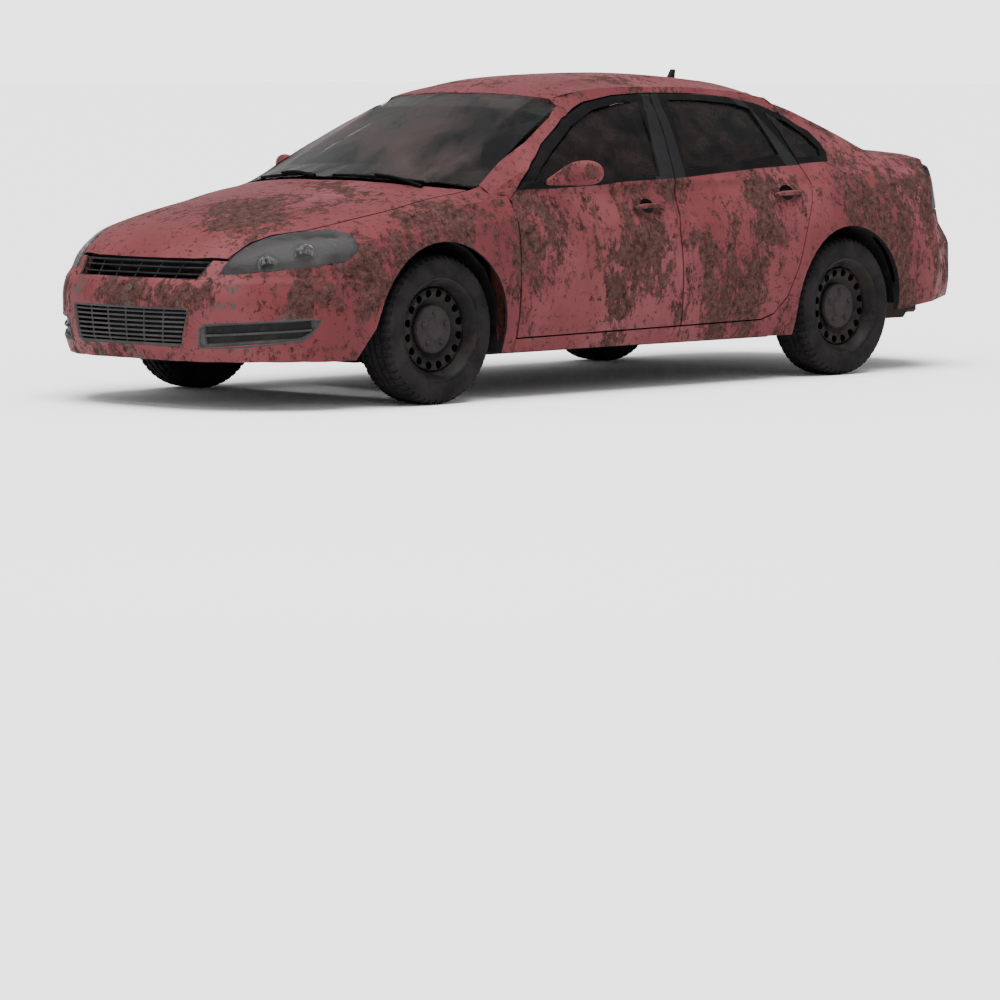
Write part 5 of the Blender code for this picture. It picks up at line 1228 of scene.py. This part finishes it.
def wheel_copy(source, name, axle_x, axle_z, side):
    """A copy of a wheel piece at one corner of the car, turned over for the right side."""
    mesh = source.data.copy()
    mesh.transform(Matrix.Scale(side, 4, (0, 1, 0)))
    if side < 0:
        mesh.flip_normals()
    mesh.transform(Matrix.Translation((axle_x, side * WHEEL_MID_Y, axle_z)))
    obj = bpy.data.objects.new(name, mesh)
    bpy.context.scene.collection.objects.link(obj)
    return obj


for word, side in (("left", 1), ("right", -1)):
    for end in ("front", "rear"):
        low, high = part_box(f"tyre_{end}_{word}")
        axle_x, axle_z = (low.x + high.x) / 2, TYRE_RADIUS
        tread = wheel_copy(tyre, f"tyre_{end}_{word}_tread", axle_x, axle_z, side)
        settle(tread, f"tyre_{end}_{word}", f"tyre_{end}_{word}")
        steel = wheel_copy(wheel, f"wheel_{end}_{word}_steel", axle_x, axle_z, side)
        settle(steel, f"rim_{end}_{word}", f"rim_{end}_{word}")
bpy.data.objects.remove(tyre)
bpy.data.objects.remove(wheel)
print("four wheels placed")

# %% [markdown]
# ## Mirrors, wipers and aerial
# A mirror is a rounded shell that grows from a thin foot, with a glass set into its rear face. The wipers
# lie parked across the foot of the screen, each an arm and a blade. The aerial is a short rod on a base
# at the back of the roof.

# %% Mirrors
MIRROR_ROWS = ((0.866, 0.735, 0.984, 0.012, 0.012), (0.876, 0.712, 0.988, 0.026, 0.020),
               (0.890, 0.680, 0.998, 0.040, 0.030), (0.905, 0.655, 1.008, 0.044, 0.040),
               (0.930, 0.638, 1.020, 0.040, 0.051), (0.975, 0.628, 1.026, 0.048, 0.058),
               (1.020, 0.615, 1.028, 0.048, 0.058), (1.052, 0.602, 1.027, 0.040, 0.050),
               (1.072, 0.595, 1.026, 0.026, 0.034), (1.0815, 0.590, 1.025, 0.012, 0.015))


def mirror_shell(name, side):
    """Rounded housing from ring to ring along its length."""
    made = bmesh.new()
    rings = []
    for y, x, z, half_x, half_z in MIRROR_ROWS:
        ring = []
        for i in range(24):
            turn = 2 * math.pi * i / 24
            c, s = math.cos(turn), math.sin(turn)
            flat = 0.75 if c < 0 else 1.0
            ring.append(made.verts.new((x + half_x * flat * math.copysign(abs(c) ** 0.8, c), side * y,
                                        z + half_z * math.copysign(abs(s) ** 0.8, s))))
        rings.append(ring)
    for first, second in zip(rings, rings[1:]):
        for i in range(24):
            j = (i + 1) % 24
            made.faces.new((first[i], first[j], second[j], second[i]))
    made.faces.new(rings[0])
    made.faces.new(rings[-1])
    bmesh.ops.recalc_face_normals(made, faces=made.faces)
    mesh = bpy.data.meshes.new(name)
    made.to_mesh(mesh)
    made.free()
    mesh.materials.append(paint)
    obj = bpy.data.objects.new(name, mesh)
    bpy.context.scene.collection.objects.link(obj)
    only(obj)
    step = obj.modifiers.new("round", "SUBSURF")
    step.levels = step.render_levels = 2
    bpy.ops.object.modifier_apply(modifier=step.name)
    bpy.ops.object.shade_smooth()
    return obj


for word, side in (("left", 1), ("right", -1)):
    shell = mirror_shell(f"mirror_shell_{word}", side)
    settle(shell, f"mirror_{word}", f"mirror_{word}")
    bpy.ops.object.select_all(action="DESELECT")
    bpy.ops.mesh.primitive_uv_sphere_add(segments=40, ring_count=20, radius=1.0, location=(0.5790, side * 0.992, 1.025))
    glass = bpy.context.object
    glass.scale = (0.005, 0.070, 0.044)
    bpy.ops.object.transform_apply(location=True, rotation=True, scale=True)
    glass.name = f"mirror_glass_{word}"
    glass.data.materials.append(mirror_glass)
    bpy.ops.object.shade_smooth()
    settle(glass, f"mirror_{word}")

# %% Wipers
WIPERS = (("left", ((1.284, 0.03), (1.272, 0.15), (1.254, 0.28), (1.232, 0.41), (1.200, 0.54)), (1.250, 0.575)),
          ("right", ((1.262, -0.14), (1.252, -0.25), (1.236, -0.36), (1.214, -0.46), (1.184, -0.56)), (1.290, -0.09)))


def on_screen(x, y, lift):
    spot = surface_point((x, y, 0.6), (0.0, 0.0, 1.0))
    return spot + surface_normal(spot) * lift


for word, path, pivot in WIPERS:
    blade = tube(f"wiper_blade_{word}", [on_screen(x, y, 0.008) for x, y in path], 0.0065, black_trim_and_painted_shade)
    middle = path[2]
    bend = ((pivot[0] + middle[0]) / 2 + 0.012, (pivot[1] + middle[1]) / 2)
    reach = [on_screen(*pivot, 0.004), on_screen(*bend, 0.024), on_screen(*middle, 0.020)]
    arm = tube(f"wiper_arm_{word}", reach, 0.0075, black_trim_and_painted_shade, tips=(1.5, 1.0, 0.8))
    settle(joined(f"wiper_{word}", [blade, arm]), "windshield")

# %% Aerial
base = surface_point((-1.020, 0.0, 1.0), (0, 0, 1))
rod = tube("aerial_rod", [base + (0, 0, -0.002), base + (-0.022, 0, 0.022), base + (-0.046, 0, 0.0445)], 0.0048,
           black_trim_and_painted_shade, tips=(1.3, 1.0, 0.8))
foot = tube("aerial_foot", [surface_point((x, 0.0, 1.0), (0, 0, 1)) + (0, 0, 0.003) for x in (-0.985, -1.01, -1.05)],
            0.010, black_trim_and_painted_shade, tips=(0.6, 1.0, 0.8))
settle(joined("aerial", [rod, foot]), "roof_panel")
print("mirrors, wipers and aerial made")

# %% [markdown]
# ## Cabin
# Through the dusty glass the seats, the bench and the wheel are seen as dark shapes. Each cushion is a
# crowned pad whose sides pull in, and the front seats' cushions and backs have sewn channels in their
# faces. The steering wheel is a ring with a padded middle and three spokes.

# %% Seats
def pad(name, centre, size, tilt, channels=0, crown=0.22):
    """A padded block: crowned faces, rounded sides and shallow sewn channels across its front."""
    bpy.ops.object.select_all(action="DESELECT")
    bpy.ops.mesh.primitive_cube_add(size=2.0, location=(0, 0, 0))
    obj = bpy.context.object
    obj.name = name
    bpy.ops.object.mode_set(mode="EDIT")
    bpy.ops.mesh.subdivide(number_cuts=17)
    bpy.ops.object.mode_set(mode="OBJECT")
    points = coordinates(obj.data)
    rounding = np.abs(points) ** 6
    size_now = np.maximum(rounding.sum(-1, keepdims=True), 1e-9) ** (1 / 6)
    points = points / size_now * np.abs(points).max(-1, keepdims=True)
    swell = (1 - points[:, 1] ** 2) * (1 - points[:, 2] ** 2)
    points[:, 0] *= 1 - crown + crown * np.clip(swell, 0, 1) ** 0.5
    if channels:
        groove = np.exp(-((np.mod(points[:, 2] * channels, 2.0) - 1.0) / 0.16) ** 2)
        points[:, 0] -= np.sign(points[:, 0]) * 0.10 * groove * (np.abs(points[:, 1]) < 0.8)
    points *= np.array(size) / 2
    turn = Matrix.Rotation(math.radians(tilt), 3, "Y")
    points = points @ np.array(turn).T + np.array(centre)
    obj.data.vertices.foreach_set("co", points.reshape(-1))
    obj.data.update()
    obj.data.materials.append(cloth)
    bpy.ops.object.shade_smooth()
    return obj


for word, side in (("left", 1), ("right", -1)):
    seat = f"front_seat_{word}"
    rows = ((f"{seat}_cushion", (0.17, side * 0.39, 0.375), (0.13, 0.47, 0.50), 85, 3),
            (f"{seat}_back", (-0.155, side * 0.39, 0.70), (0.13, 0.46, 0.60), -15, 4),
            (f"{seat}_headrest", (-0.265, side * 0.39, 1.085), (0.085, 0.25, 0.19), -8, 0))
    pads = [settle(pad(*row), seat) for row in rows]
    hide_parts(seat)
bench = [settle(pad("rear_bench_cushion", (-0.70, 0.0, 0.425), (0.09, 1.16, 0.44), 88, 0), "rear_seat"),
         settle(pad("rear_bench_back", (-1.08, 0.0, 0.69), (0.12, 1.15, 0.50), -25, 0), "rear_seat")]
for side in (1, -1):
    bench.append(settle(pad(f"rear_headrest_{'left' if side > 0 else 'right'}", (-1.205, side * 0.34, 0.985),
                            (0.075, 0.24, 0.15), -10, 0), "rear_seat"))
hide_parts("rear_seat")
print("seats made")

# %% Steering wheel and dashboard
WHEEL_CENTRE, WHEEL_AXIS = Vector((0.545, 0.385, 0.800)), Vector((0.90, 0.0, -0.42)).normalized()
SPOKE_RADIUS = 0.013
turn = WHEEL_AXIS.to_track_quat("Z", "Y")
bpy.ops.object.select_all(action="DESELECT")
bpy.ops.mesh.primitive_torus_add(major_radius=0.184, minor_radius=0.0135, major_segments=64, minor_segments=16,
                                 location=WHEEL_CENTRE, rotation=turn.to_euler())
ring = bpy.context.object
bpy.ops.object.transform_apply(location=True, rotation=True)
ring.data.materials.append(cabin_plastic)
bpy.ops.object.shade_smooth()
spokes = [ring]
for degrees in (0, 180, 270):
    aim = turn @ Vector((math.cos(math.radians(degrees)), math.sin(math.radians(degrees)), 0.0))
    path = [WHEEL_CENTRE + WHEEL_AXIS * 0.03, WHEEL_CENTRE + aim * 0.09 + WHEEL_AXIS * 0.018,
            WHEEL_CENTRE + aim * 0.182]
    spokes.append(tube("spoke", path, SPOKE_RADIUS, cabin_plastic))
hub = [WHEEL_CENTRE + WHEEL_AXIS * d for d in (-0.02, 0.0, 0.03, 0.105)]
spokes.append(tube("hub", hub, 0.060, cabin_plastic, tips=(0.85, 1.0, 0.8, 0.35)))
settle(joined("steering_wheel_ring", spokes), "steering_wheel", "steering_wheel")

dash = copy_of("dashboard", "dashboard_top", cabin_plastic)
only(dash)
bpy.ops.object.mode_set(mode="EDIT")
bpy.ops.mesh.select_all(action="SELECT")
bpy.ops.mesh.remove_doubles(threshold=0.00001)
bpy.ops.mesh.dissolve_limited(angle_limit=math.radians(3))
bpy.ops.object.mode_set(mode="OBJECT")
step = dash.modifiers.new("soft edges", "BEVEL")
step.width, step.segments, step.limit_method = 0.015, 4, "ANGLE"
bpy.ops.object.modifier_apply(modifier=step.name)
bpy.ops.object.shade_smooth_by_angle(angle=math.radians(40))
settle(dash, "dashboard", "dashboard")

# %% [markdown]
# ## What stays as it is
# The floor, the rails, the axles and the engine block are plain solids whose shape is right. They only get
# their finish.

# %% Finishes of the remaining solids
PLAIN = {"floor_pan": under_steel, "engine_bay": under_steel, "boot_floor": under_steel, "engine_block": pipe_steel,
         "front_subframe": under_steel, "rear_axle": under_steel, "knuckle_left": under_steel,
         "knuckle_right": under_steel, "exhaust": pipe_steel}
for name, finish in PLAIN.items():
    for slot_item in nodes[name].material_slots:
        slot_item.material = finish
print("plain solids finished:", ", ".join(PLAIN))
